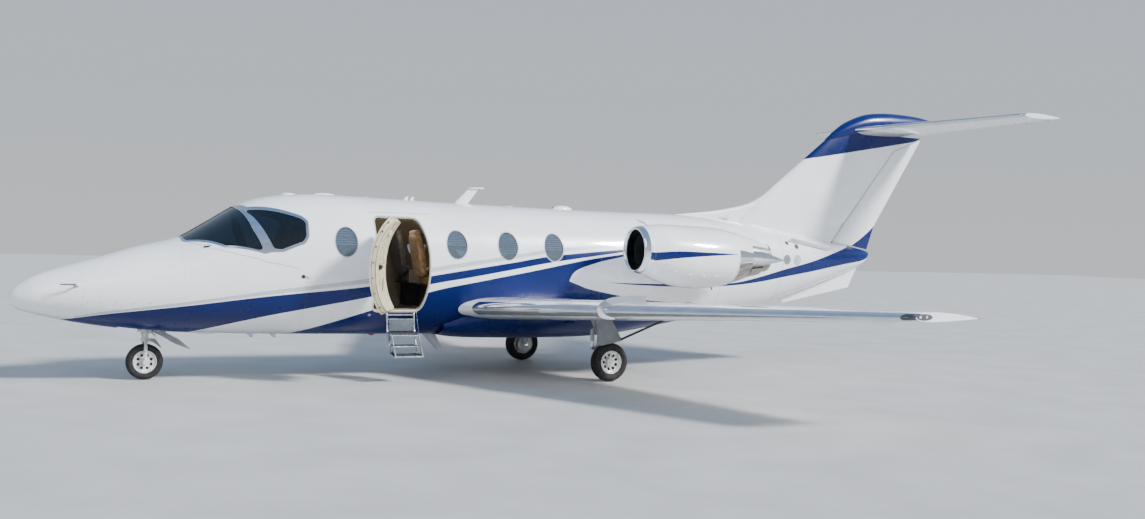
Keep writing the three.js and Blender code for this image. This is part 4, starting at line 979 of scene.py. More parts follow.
def make_wing():
    """The fixed wing with its fence and tip lens, then the flap and the spoiler in their openings."""
    stops = [(WING["inner"], 0, 0), (950, 0, 0), (1010, 0, 0), (1010, 1, 0), (1500, 1, 0), (2100, 1, 0),
             (2600, 1, 0), (3000, 1, 0), (3000, 1, 1), (3500, 1, 1), (4100, 1, 1), (4600, 1, 1),
             (4600, 1, 0), (4900, 1, 0), (4900, 0, 0), (5500, 0, 0), (6100, 0, 0), (6500, 0, 0)]
    rings = []
    for y, cove, notch in stops:
        ring, nose = wing_ring(y, cove, notch)
        rings.append(ring)
    for y, shrink in ((6545, 0.99), (6585, 0.965), (6612, 0.92), (6624, 0.84)):
        rings.append(wing_ring(y, 0, 0, shrink)[0])

    def coat(i, j):
        """White, with a bright strip along the nose that ends in the tip's smoked lens."""
        if i >= len(stops) and nose - 6 <= j < nose + 4:
            return "lamp_glass"
        return "polished_edge" if i >= 1 and nose - 7 <= j < nose + 7 else "white_topcoat"
    wing = Piece().loft(rings, coat)
    wing.join(wing_fence())
    wing.plate(oval(8204, wing_at(6622)[1] + 6, 216, 70), 6621, 6624.8, "lamp_glass", "y", 0.5)
    wing.both("wing_{}_skin", node="wing_{}", crease=24)

    rings = []
    for y in np.linspace(FLAP["y0"] + FLAP["gap"], FLAP["y1"] - FLAP["gap"], 9):
        hinge, radius = wing_hinge(y, FLAP["hinge"]), nose_radius(FLAP, y)
        ring = [wing_surface(y, f, 1) for f in (1, 0.99, 0.96, 0.92, 0.88, 0.84)]
        for k in range(13):
            a = math.pi / 2 + math.pi * k / 12
            u, w = hinge[0] + radius * math.cos(a), hinge[1] + radius * math.sin(a)
            share = u / wing_at(y)[2]
            w = min(max(w, wing_surface(y, share, -1)[1]), wing_surface(y, share, 1)[1])
            ring.append((u, w))
        ring += [wing_surface(y, f, -1) for f in (0.84, 0.88, 0.92, 0.96, 0.99, 1)]
        rings.append([wing_place(y, u, w) for u, w in ring])
    flap = Piece().loft(rings, "white_topcoat")
    hinge_pins(flap, FLAP, lambda y: wing_place(y, *wing_hinge(y, FLAP["hinge"])), 10)
    flap.both("flap_{}_skin", "flap_{}", "flap_{}", crease=24)

    rings = []
    for y in np.linspace(SPOILER["y0"] + SPOILER["gap"], SPOILER["y1"] - SPOILER["gap"], 7):
        shares = np.linspace(SPOILER["back"] - 0.006, SPOILER["front"] + 0.006, 8)
        top = [wing_surface(y, f, 1) for f in shares]
        low = [(u, w - SPOILER["thick"]) for u, w in top]
        rings.append([wing_place(y, u, w) for u, w in top + low[::-1]])
    Piece().loft(rings, "white_topcoat").both("spoiler_{}_skin", "spoiler_{}", "spoiler_{}")


make_wing()

# Station, half width, top, bottom, height of the widest point, fullness
BELLY = [[5350, 560, 760, 553, 720, 2.2], [5600, 700, 900, 515, 800, 2.4], [6100, 790, 960, 500, 850, 2.6],
         [7300, 800, 960, 500, 850, 2.6], [8000, 730, 950, 535, 830, 2.5], [8700, 560, 900, 630, 820, 2.3],
         [9140, 330, 840, 692, 790, 2.2]]


def make_belly_fairing():
    """The blister under the wing root, in dark blue; its upper edge runs into the hull."""
    low, high = ROUND * 0.15, ROUND * 0.85
    fairing = Piece().skin(round_body(BELLY), [(5350, low), (9140, low), (9140, high), (5350, high)],
                           "blue_topcoat", step=(70, 60), sense=-1, thick=6)
    fairing.place("belly_fairing_skin", replaces=["belly_fairing"], slot="blue_paint")


make_belly_fairing()


# Engines
ENGINE = dict(y=1420, z=1745, fan_x=8330, duct=285)
COWL = [[7930, 342, 1804], [8150, 396, 1772], [8450, 430, 1737], [8800, 438, 1722], [9150, 412, 1727],
        [9450, 348, 1738], [9560, 318, 1742]]
COWL_INSIDE = [[9560, 300, 1742], [9300, 285, 1745], [8250, 285, 1745], [7930, 268, 1790]]
LIP = [(7929, 342, 1804), (7895, 338, 1805.5), (7860, 332, 1807), (7825, 325, 1807.6), (7800, 316, 1808),
       (7781, 306, 1808), (7775, 297, 1808), (7777, 288, 1807.5), (7785, 281, 1807), (7805, 273, 1805),
       (7830, 268, 1803), (7880, 266.5, 1797), (7929, 268, 1790)]
COWL_GIRTH = 400.0
BLADES = 28


def cowl_surface(u, v):
    """The starboard cowl's outside: u is the station, v the girth from the outboard side upwards."""
    radius, height = section(COWL, u)
    return np.stack([u, ENGINE["y"] + radius * np.cos(v / COWL_GIRTH),
                     height + radius * np.sin(v / COWL_GIRTH)], axis=-1)


def upright_ring(x, y, z, wide, tall, count=32):
    """An oval ring of points that stands across the aircraft."""
    return [(x, y + wide * math.cos(a), z + tall * math.sin(a)) for a in angles(count)]


def cowl_ring(x, radius, height, count=72):
    """A ring of points round the engine."""
    return upright_ring(x, ENGINE["y"], height, radius, radius, count)


def on_cowl(points):
    """Points in station and height on the outboard side of the cowl."""
    made = []
    for x, z in points:
        radius, height = (float(c[0]) for c in section(COWL, np.array([x])))
        made.append((x, math.asin(max(-1, min(1, (z - height) / radius))) * COWL_GIRTH))
    return np.array(made)


def make_engine():
    """Cowl, bright lip, fan, jet pipe with its reverser, and the pylon; made to starboard and mirrored."""
    low, high = -math.pi * COWL_GIRTH, math.pi * COWL_GIRTH
    stripe_top = smooth_line([(7931, 1782), (8276, 1806), (8742, 1800), (9260, 1786)])
    stripe_low = smooth_line([(9260, 1784), (8742, 1752), (8277, 1712), (7931, 1668)])
    stripe = on_cowl(np.vstack([stripe_top, stripe_low]))
    worn = [(9290, low - 5), (9290, -0.2 * COWL_GIRTH), (9565, -0.2 * COWL_GIRTH), (9565, low - 5)]
    cowl = Piece().skin(cowl_surface, [(7930.5, low), (9560, low), (9560, high), (7930.5, high)],
                        "white_topcoat", paint=[(stripe, "blue_topcoat"), (worn, "hot_steel")],
                        step=(50, 36), sense=-1)
    inner = [cowl_ring(*row) for row in ((9560, 318, 1742), *COWL_INSIDE, (7930.5, 342, 1804))]
    cowl.loft(inner, "duct_lining", caps=(False, False))
    y, z, fan_x, duct = ENGINE["y"], ENGINE["z"], ENGINE["fan_x"], ENGINE["duct"]
    for side in SIDES:
        rings = []
        for x in (9292, 9320, 9400, 9480, 9562):
            radius = float(section(COWL, x)[0][0])
            thin = 20 + (x - 9292) * 0.13
            rings.append(upright_ring(x, y + side * (radius + 6 - thin), z, thin, 97))
        cowl.loft(rings, "spun_lip")
    cowl.both("nacelle_{}_cowl", node="nacelle_{}", crease=40)

    def lip_coat(i, j):
        """Bright only at the front: behind it the cowl's white and its blue stripe run on."""
        if i >= 2:
            return "spun_lip"
        return "blue_topcoat" if 90 <= j < 95 else "white_topcoat"
    lip = Piece().loft([cowl_ring(x, r, z, 96) for x, r, z in LIP], lip_coat, caps=(False, False))
    lip.loft([cowl_ring(*LIP[-1], 96), cowl_ring(*LIP[0], 96)], "duct_lining", caps=(False, False))
    lip.both("inlet_lip_{}_ring", node="inlet_lip_{}", slot="polished", crease=60)

    fan = Piece().turned([(fan_x - 130, 1), (fan_x - 124, 14), (fan_x - 100, 40), (fan_x - 50, 72),
                          (fan_x, 86), (fan_x + 70, 88), (fan_x + 70, 1)], "blade_titanium", (0, y, z),
                         sides=48, closed=False)
    fan.rod((fan_x + 50, y, z), (fan_x + 150, y, z), 30, "chromed_steel")
    rings = []
    for share in (k / 6 for k in range(7)):
        radius = 80 + (duct - 12 - 80) * share
        half, twist = 30 + 5 * math.sin(math.pi * share), math.radians(30 + 32 * share)
        foil = [(-half, 0), (-half * 0.4, 3.2), (half * 0.5, 3.0), (half, 0), (half * 0.5, -1.2),
                (-half * 0.4, -1)]
        rings.append([(fan_x + 34 + u * math.cos(twist) - w * math.sin(twist),
                       u * math.sin(twist) + w * math.cos(twist), radius) for u, w in foil])
    blade_up = Piece().loft(rings, "blade_titanium")
    for a in angles(BLADES):
        fan.join(blade_up.moved(Matrix.Translation((0, y, z)) @ Matrix.Rotation(a, 4, "X")))
    fan.both("fan_{}_rotor", "fan_{}", "fan_{}", slot="steel")

    core = Piece().turned([(fan_x + 86, 40), (fan_x + 86, duct - 1), (fan_x + 180, duct - 1),
                           (fan_x + 200, 235), (9280, 235), (9300, 270), (9400, 270), (9566, 266),
                           (9760, 240), (9960, 206), (9963, 198), (9960, 190), (9780, 214), (9600, 236),
                           (9600, 90), (9720, 56), (9830, 6), (9830, 2), (fan_x + 155, 2),
                           (fan_x + 155, 34), (fan_x + 86, 34)], "hot_steel", (0, y, z))
    for side in SIDES:
        rings = []
        for x, tall, thin in ((9567, 158, 56), (9640, 156, 57), (9760, 150, 56), (9870, 126, 49),
                              (9980, 88, 36), (10090, 46, 20), (10165, 16, 8), (10182, 8, 5)):
            rings.append(upright_ring(x, y + side * (262 - (x - 9566) * 0.1), z - (x - 9566) * 0.055, thin,
                                      tall * 0.625))
        core.loft(rings, "spun_lip")
    # Upper and lower buckets of the reverser
    spread = [math.radians(34 + 112 * k / 20) for k in range(21)]
    upper = ((9566, 306, 60), (9660, 291, 62), (9760, 272, 62), (9850, 251, 50), (9900, 240, 42))
    lower = ((9590, 302, 60), (9680, 287, 62), (9760, 272, 62), (9820, 258, 54))
    for up, finish_name, rows in ((1, "white_topcoat", upper), (-1, "hot_steel", lower)):
        rings = []
        for x, radius, thick in rows:
            outer, inner = ([(x, y + r * math.cos(a), z + up * r * math.sin(a)) for a in spread]
                            for r in (radius, radius - thick))
            rings.append(outer + inner[::-1])
        core.loft(rings, finish_name)
    core.both("engine_{}_core", node="engine_{}", slot="polished")

    rings, chord = [], 1560
    for out in (560, 700, 900, 1090):
        ring = []
        for k in range(32):
            f, up = ((1 - k / 16) ** 2, 1) if k <= 16 else (((k - 16) / 16) ** 2, -1)
            ring.append((8120 + f * chord, out, 1790 + up * foil_half(f, 0.1) * chord - f * chord * 0.02))
        rings.append(ring)
    pylon = Piece().loft(rings, "white_topcoat", caps=(False, False))
    pylon.both("pylon_{}_skin", node="pylon_{}")


make_engine()


# Tail
# Height, leading edge, trailing edge
FIN = [[1700, 10020, 13010], [2310, 10420, 13226], [2850, 11100, 13574], [3350, 11735, 13897],
       [3830, 12340, 14205]]
FIN_THICK = 0.085
FIN_SPAN = 1500.0
RUDDER = dict(low=(12360, 1993), high=(13616, 3568), gap=26, nose=(93, 55), clear=12)
FIN_LINE = ((11735, 3338), (14240, 3800))


def fin_edges(z):
    """The stations of the fin's front and back edges at a height."""
    heights, front, back = np.array(FIN, float).T
    return np.interp(z, heights, front), np.interp(z, heights, back)


def fin_surface(u, v):
    """The fin: u runs from the starboard trailing edge (-) round the nose to port (+), v is the height."""
    front, back = fin_edges(v)
    f = (u / FIN_SPAN) ** 2
    half = foil_half(f, FIN_THICK) * (back - front)
    return np.stack([front + f * (back - front), -np.sign(u) * half, v], axis=-1)


def on_fin(points):
    """Points in station and height as the fin surface's u and v, on the port side."""
    made = []
    for x, z in points:
        front, back = fin_edges(z)
        made.append((FIN_SPAN * math.sqrt(max(0.0, min(1.0, (x - front) / (back - front)))), z))
    return made


def rudder_hinge(z):
    """The station of the rudder's hinge line at a height."""
    (x0, z0), (x1, z1) = RUDDER["low"], RUDDER["high"]
    return x0 + (z - z0) * (x1 - x0) / (z1 - z0)


def rudder_nose(z):
    """How far the rudder's nose reaches in front of its hinge line, at a height."""
    return blend(RUDDER["nose"], (z - RUDDER["low"][1]) / (RUDDER["high"][1] - RUDDER["low"][1]))


def make_fin():
    """The fixed fin with its dorsal ridge."""
    low_z, high_z = 2013 - RUDDER["gap"], 3580 + RUDDER["gap"]
    back = [(13010, 1790), (13080, 1868), (12700, 1931), (rudder_hinge(low_z) - 20, low_z)]
    for z in np.linspace(low_z, high_z, 14):
        back.append((rudder_hinge(z) - rudder_nose(z) - RUDDER["clear"], z))
    back += [(rudder_hinge(high_z), high_z), (14190, 3828)]
    path = on_fin(back)
    loop = path + [(-u, z) for u, z in path[::-1]]
    line = on_fin([(x, np.interp(x, *zip(*FIN_LINE))) for x in np.linspace(11735, 14200, 12)])
    top = [(-u, z) for u, z in line[::-1]] + line + [(FIN_SPAN, 4000), (-FIN_SPAN, 4000)]
    fin = Piece().skin(fin_surface, loop, "white_topcoat", paint=[(top, "blue_topcoat")], step=(60, 60),
                       thick=5)
    ridge = smooth_line([(9300, 2352), (9900, 2420), (10370, 2502), (10740, 2612), (11100, 2830),
                         (11400, 3060)], 4)
    rings = []
    for x, top_z in ridge:
        half = 40 if x > 10000 else 8 + 32 * (x - 9300) / 700
        round_top = [(x, half * math.sin(a), top_z - half * 1.3 * (1 - math.cos(a)))
                     for a in (math.radians(15 * k) for k in range(-6, 7))]
        rings.append([(x, -half, 2050.0)] + round_top + [(x, half, 2050.0)])
    fin.loft(rings, "white_topcoat")
    fin.place("fin_skin", replaces=["fin"])


def make_rudder():
    """The rudder in its slot, with the tail stripe running on over its lower corner."""
    span, depth, nose_share = 1000.0, 1900.0, 160.0

    def rudder_surface(u, v):
        """The rudder: u runs from the starboard trailing edge round the nose to port, v up the hinge."""
        t = np.clip(v / depth, 0, 1)
        hinge_z = 2016 + (3577 - 2016) * t
        hinge_x = rudder_hinge(hinge_z)
        edge_z = 1902 + (3803 - 1902) * t
        edge_x = fin_edges(edge_z)[1]
        wide = np.abs(u)
        c = np.clip((wide - nose_share) / (span - nose_share), 0, 1)
        x, z = hinge_x + (edge_x - hinge_x) * c, hinge_z + (edge_z - hinge_z) * c
        front, back = fin_edges(z)
        half = foil_half((x - front) / (back - front), FIN_THICK) * (back - front)
        turn = np.clip(wide / nose_share, 0, 1) * math.pi / 2
        x = np.where(wide < nose_share, hinge_x - rudder_nose(hinge_z) * np.cos(turn), x)
        half = np.where(wide < nose_share, half * np.sin(turn), half)
        return np.stack([x, -np.sign(u) * half, z], axis=-1)
    corner = [(0.5, 0), (1.02, 0), (1.02, 0.2155)]
    blue = [[(s * (nose_share + (span - nose_share) * c), t * depth) for c, t in corner] for s in (1, -1)]
    loop = [(-span, 0), (span, 0), (span, depth), (-span, depth)]
    rudder = Piece().skin(rudder_surface, loop, "white_topcoat", paint=[(b, "blue_topcoat") for b in blue],
                          step=(50, 60), thick=4)
    for v in (0, depth):
        ring = rudder_surface(np.linspace(-span, span, 41), np.full(41, float(v)))
        rudder.take(ring, [range(41)], "white_topcoat")
    rudder.rod((rudder_hinge(1950), 0, 1950), (rudder_hinge(2080), 0, 2080), 18, "chromed_steel")
    rudder.place("rudder_skin", "rudder", ["rudder"])


make_fin()
make_rudder()

TAILPLANE = dict(tip=2500, x=(12600, 13914), z=(3868, 4040), chord=(1480, 850), thick=0.095, hinge=0.7,
                 y0=190, y1=2400, gap=25, nose=(45, 28), clear=8)


def tailplane_at(y):
    """Leading edge station, height and chord of the tailplane at a place along the span."""
    t = abs(y) / TAILPLANE["tip"]
    return tuple(blend(TAILPLANE[name], t) for name in ("x", "z", "chord"))


def tailplane_ring(y, cove, shrink=1.0):
    """A closed tailplane section, cut short in front of the elevator where cove is set."""
    x, z, chord = tailplane_at(y)
    lead, hinge = 60 / chord, TAILPLANE["hinge"]
    radius = nose_radius(TAILPLANE, y) + TAILPLANE["clear"]

    def half(f):
        return foil_half(f, TAILPLANE["thick"]) * chord
    end = hinge
    while math.hypot((hinge - end) * chord, half(end)) < radius:
        end -= 0.0005
    shares = list(np.linspace(end, lead, 12)) + [lead * (k / 6) ** 2 for k in range(5, 0, -1)]
    upper = [(f * chord, half(f)) for f in shares]
    back = []
    start = math.atan2(half(end), (end - hinge) * chord)
    for k in range(1, 8):
        if cove:
            a = -start + (2 * start - 2 * math.pi) * k / 8
            back.append((hinge * chord + radius * math.cos(a), radius * math.sin(a)))
        else:
            f = end + (1 - end) * (1 - abs(k - 4) / 4)
            back.append((f * chord, half(f) * (-1 if k <= 4 else 1)))
    ring = upper + [(0, 0)] + [(u, -w) for u, w in upper[::-1]] + back
    return [(x + chord * (1 - shrink) * 0.5 + u * shrink, y, z + w * shrink) for u, w in ring], len(upper)


def make_tailplane():
    """Tailplane with bright leading edges, elevators, and the blue bullet over the middle."""
    stops = [(0, 0, 1), (190, 0, 1), (190, 1, 1), (900, 1, 1), (1700, 1, 1), (2400, 1, 1), (2400, 0, 1),
             (2440, 0, 1), (2468, 0, 0.985), (2487, 0, 0.95), (2498, 0, 0.88)]
    rings = []
    for y, cove, shrink in stops:
        ring, nose = tailplane_ring(y, cove, shrink)
        rings.append(ring)

    def coat(_, j):
        """White behind a bright nose."""
        return "polished_edge" if nose - 6 <= j < nose + 6 else "white_topcoat"
    half = Piece().loft(rings, coat, caps=(False, True))
    half.join(half.mirrored()).place("tailplane_skin", replaces=["tailplane"], crease=26)

    rings = []
    for y in np.linspace(TAILPLANE["y0"] + TAILPLANE["gap"], TAILPLANE["y1"] - TAILPLANE["gap"], 6):
        x, z, chord = tailplane_at(y)
        radius = nose_radius(TAILPLANE, y)
        ring = [(f * chord, foil_half(f, TAILPLANE["thick"]) * chord) for f in (1, 0.98, 0.9, 0.8, 0.74)]
        round_nose = []
        for k in range(11):
            a = math.pi / 2 + math.pi * k / 10
            u = TAILPLANE["hinge"] * chord + radius * math.cos(a)
            limit = foil_half(u / chord, TAILPLANE["thick"]) * chord
            round_nose.append((u, min(max(radius * math.sin(a), -limit), limit)))
        ring += round_nose + [(u, -w) for u, w in ring[::-1]]
        rings.append([(x + u, y, z + w) for u, w in ring])
    elevator = Piece().loft(rings, "white_topcoat")

    def at_hinge(y):
        x, z, chord = tailplane_at(y)
        return x + chord * TAILPLANE["hinge"], y, z
    hinge_pins(elevator, TAILPLANE, at_hinge, 8)
    elevator.both("elevator_{}_skin", "elevator_{}", "elevator_{}", crease=26)

    rows = [[12150, 24, 3692, 3640, 3665, 2], [12350, 78, 3860, 3690, 3780, 2],
            [12570, 112, 4003, 3740, 3870, 2], [12930, 140, 4142, 3790, 3960, 2],
            [13300, 148, 4195, 3800, 3990, 2], [13700, 138, 4204, 3850, 4010, 2],
            [14100, 100, 4185, 3960, 4060, 2], [14410, 34, 4140, 4080, 4110, 2]]
    bullet = round_body(rows)
    made = Piece().skin(bullet, hoop(12150, 14410), "blue_topcoat", step=(40, 200), sense=-1, thick=4)
    for x, order in ((12150, 1), (14410, -1)):
        made.take(hoop_points(bullet, x, 24), [range(24)[::order]], "blue_topcoat")
    made.place("bullet_skin", replaces=["tailplane_fairing"], slot="blue_paint")


make_tailplane()


# Wheels and landing gear
NOSE_WHEEL = dict(x=1583, radius=225, width=112, rim=140, bore=22)
MAIN_WHEEL = dict(x=7440, y=1420, radius=265, width=172, rim=155, bore=28)


def tyre_rows(wheel, grooves):
    """A tyre's outline from one bead over the grooved crown to the other, as (across, radius)."""
    w, rim, radius = wheel["width"] / 2, wheel["rim"], wheel["radius"]
    side = smooth_line([(w * 0.70, rim + 1), (w * 0.84, rim + 8), (w * 0.985, (rim + radius) / 2 - 6),
                        (w * 0.97, (rim + radius) / 2 + 12), (w * 0.83, radius - 22),
                        (w * 0.62, radius - 9)], 4)

    def crown(u):
        return radius - 9 * (abs(u) / (w * 0.62)) ** 2.4
    rows = [tuple(p) for p in side]
    for middle in (w * at for at in grooves):
        floor = crown(middle) - 6
        rows += [(middle + 4.5, crown(middle + 4.5)), (middle + 2.5, floor), (middle - 2.5, floor),
                 (middle - 4.5, crown(middle - 4.5))]
    return there_and_back(rows)


def make_tyre(wheel, y, grooves):
    """A tyre: ribbed crown, rounded shoulders, raised line round the side wall."""
    made = Piece().turned(tyre_rows(wheel, grooves), "tyre_rubber", (wheel["x"], y, wheel["radius"]), "y",
                          72)
    for side in SIDES:
        radius = (wheel["rim"] + wheel["radius"]) / 2 - 14
        w = wheel["width"] / 2 * 0.97
        made.turned([(side * (w - 3), radius - 4), (side * (w + 0.6), radius - 2),
                     (side * (w + 0.6), radius + 2), (side * (w - 3), radius + 4)], "tyre_rubber",
                    (wheel["x"], y, wheel["radius"]), "y", 72)
    return made


def make_wheel(wheel, y, holes, hole_size):
    """A cast wheel: rim flanges, a dished disc with holes on each side, tie bolts and a hub."""
    x, z, edge, w = wheel["x"], wheel["radius"], wheel["rim"], wheel["width"] / 2
    seat, bore, middle = w * 0.72, wheel["bore"], (x, y, z)
    flange = [(-seat, edge - 1), (-seat - 3, edge + 3), (-seat - 6, edge + 1), (-seat - 5, edge - 6),
              (-seat + 6, edge - 16), (-seat + 26, edge - 20)]
    rim = there_and_back(flange)
    rim[len(flange):len(flange)] = [(0, edge - 22)]
    rim += [(seat - 14, edge - 8), (-seat + 14, edge - 8)]
    made = Piece().turned(rim, "wheel_enamel", middle, "y", 72)
    hub = there_and_back([(-seat, bore + 1), (-seat, bore + 24), (-seat + 4, bore + 30)])
    made.turned(hub, "wheel_enamel", middle, "y", 40)
    # A dark disc across the middle of the wheel: painted shade seen through the holes
    web = there_and_back([(-3, bore + 26), (-3, edge - 23)])
    made.turned(web, "duct_lining", middle, "y", 48)
    disc_edge, ring, deep = edge - 19, (edge + bore) / 2 + 4, min(30, seat - 24)
    for side in SIDES:
        def dish(u, v, side=side):
            """The disc: deep at the hub, with a shallow step where the holes are."""
            r = np.hypot(u, v)
            depth = deep * np.clip((disc_edge - r) / (disc_edge - bore - 28), 0, 1) ** 0.8
            wave = 12 * np.clip((r - bore - 28) / 26, 0, 1)
            return np.stack([x + u, y + side * (seat - 8 - depth - wave * 0.4), z + v], axis=-1)
        openings = [oval(ring * math.cos(a), ring * math.sin(a), hole_size, hole_size, 20)
                    for a in angles(holes, 0.5)]
        made.skin(dish, oval(0, 0, 2 * disc_edge, 2 * disc_edge, 64), "wheel_enamel",
                  holes=[oval(0, 0, 2 * bore + 40, 2 * bore + 40, 32)] + openings, step=(14, 14),
                  sense=-side, thick=9)
        for a in angles(holes):
            u, v = (ring + 4) * math.cos(a), (ring + 4) * math.sin(a)
            face = float(dish(np.array([u]), np.array([v]))[0][1])
            made.rod((x + u, face, z + v), (x + u, face + side * 7, z + v), 7, "chromed_steel", sides=6)
    return made


def arc_path(a, b, bulge, count=14):
    """A path from a to b that bows out by a vector at its middle."""
    a, b, bulge = Vector(a), Vector(b), Vector(bulge)
    return [a.lerp(b, t) + bulge * (4 * t * (1 - t)) for t in (k / (count - 1) for k in range(count))]


def held_line(name, route, radius, finish_name, slot):
    """A cable or hose held at both ends, made along its route; its length is summed but not used."""
    made = Piece().pipe(route, radius, finish_name, 10).place(name, slot=slot)
    path = [(spot[0] / 1000 + NOSE_X, spot[1] / 1000, spot[2] / 1000) for spot in route]
    length = sum(math.dist(a, b) for a, b in zip(path, path[1:]))
    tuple(path[0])


def make_nose_gear():
    """Leg with its brace and taxi lamp, fork with axle and torque links, wheel, tyre and doors."""
    x, z = NOSE_WHEEL["x"], NOSE_WHEEL["radius"]
    make_tyre(NOSE_WHEEL, 0, (0.42, 0.14)).place("nose_tyre_rubber", "nose_wheel", ["nose_tyre"], "tyre")
    wheel = make_wheel(NOSE_WHEEL, 0, 8, 38)
    wheel.place("nose_wheel_cast", "nose_wheel", ["nose_wheel"], "gear_grey")

    fork = Piece().rod((x, -92, z), (x, 92, z), 22, "chromed_steel", sides=32)
    for side in SIDES:
        fork.rod((x, side * 88, z), (x, side * 96, z), 30, "leg_enamel", sides=32)
        arm = smooth_line([(x, side * 20, 500), (x, side * 62, 492), (x, side * 82, 455),
                           (x, side * 83, 400), (x, side * 82, 300), (x, side * 82, 240)], 5)
        fork.pipe(arm, [26] * 6 + [21] * (len(arm) - 8) + [24, 28], "leg_enamel", 20, 0.75)
    fork.turned([(478, 2), (478, 44), (486, 50), (512, 50), (522, 42), (560, 40), (560, 29), (478, 29)],
                "leg_enamel", (x, 0, 0), "z", 40)
    fork.rod((x, 0, 480), (x, 0, 690), 30, "chromed_steel", sides=32)
    link = soft_corners([(x + 30, 468), (x + 118, 474), (x + 122, 492), (x + 40, 500)], 7)
    fork.plate(link, -13, 13, "leg_enamel", "y", 3)
    guard = soft_corners([(1620, 520), (1704, 514), (1786, 398), (1757, 408), (1662, 480)],
                         [5, 12, 4, 8, 12])
    fork.plate(guard, -34, -26, "gear_door_grey", "y", 2)
    fork.rod((x + 112, -18, 483), (x + 112, 18, 483), 7, "chromed_steel")
    fork.place("nose_fork_casting", "nose_fork", ["nose_gear_fork"], "gear_grey")

    leg = Piece().turned([(566, 34), (566, 50), (580, 54), (604, 54), (612, 46), (700, 46), (712, 50),
                          (730, 50), (740, 46), (900, 46), (912, 56), (948, 56), (960, 44), (960, 34)],
                         "leg_enamel", (x, 0, 0), "z", 40)
    leg.rod((x, -174.5, 930), (x, 174.5, 930), 28, "leg_enamel", sides=28)
    leg.rod((x, 0, 650), (1785, 0, 965), 18, "leg_enamel")
    leg.rod((x, -28, 652), (x, 28, 652), 16, "chromed_steel")
    leg.block((1770, -174.5, 936), (1809, 174.5, 998), "leg_enamel", 6)
    leg.block((x - 58, -54, 602), (x + 56, 54, 636), "leg_enamel", 8)
    upper = soft_corners([(x + 40, 604), (x + 66, 620), (x + 140, 548), (x + 122, 534)], 8)
    leg.plate(upper, -13, 13, "leg_enamel", "y", 3)
    leg.rod((x + 128, -18, 541), (x + 128, 18, 541), 7, "chromed_steel")
    lamp = (x - 96, 0, 640)
    leg.turned([(0, 34), (4, 44), (40, 36), (70, 18), (72, 2), (66, 2), (62, 14), (36, 30), (6, 38),
                (6, 34)], "leg_enamel", lamp, "x", 32)
    leg.turned([(1, 2), (1, 34), (5, 38), (8, 34), (10, 2)], "clear_lamp", lamp, "x", 32)
    leg.rod((x - 60, 0, 640), (x - 30, 0, 632), 9, "leg_enamel")
    leg.place("nose_leg_casting", replaces=["nose_gear_leg"], slot="gear_grey")

    doors = Piece()
    for side in SIDES:
        outline = soft_corners([(1680, 590), (1780, 545), (1925, 455), (2140, 372), (1960, 520),
                                (1809, 596), (1809, 628), (1680, 628)], [10, 30, 40, 8, 30, 10, 10, 10])
        doors.plate(outline, side * 150 - 4, side * 150 + 4, "gear_door_grey", "y", 1.5)
        doors.rod((1700, side * 146, 606), (1800, side * 146, 560), 5, "leg_enamel")
    doors.rod((1720, -150, 618), (1720, 150, 618), 9, "leg_enamel")
    doors.block((1700, -174, 634), (1740, 174, 650), "leg_enamel", 4)
    for side in SIDES:
        doors.rod((1720, side * 150, 618), (1720, side * 150, 640), 9, "leg_enamel")
    doors.place("nose_doors_sheet", replaces=["nose_gear_doors"])


make_nose_gear()


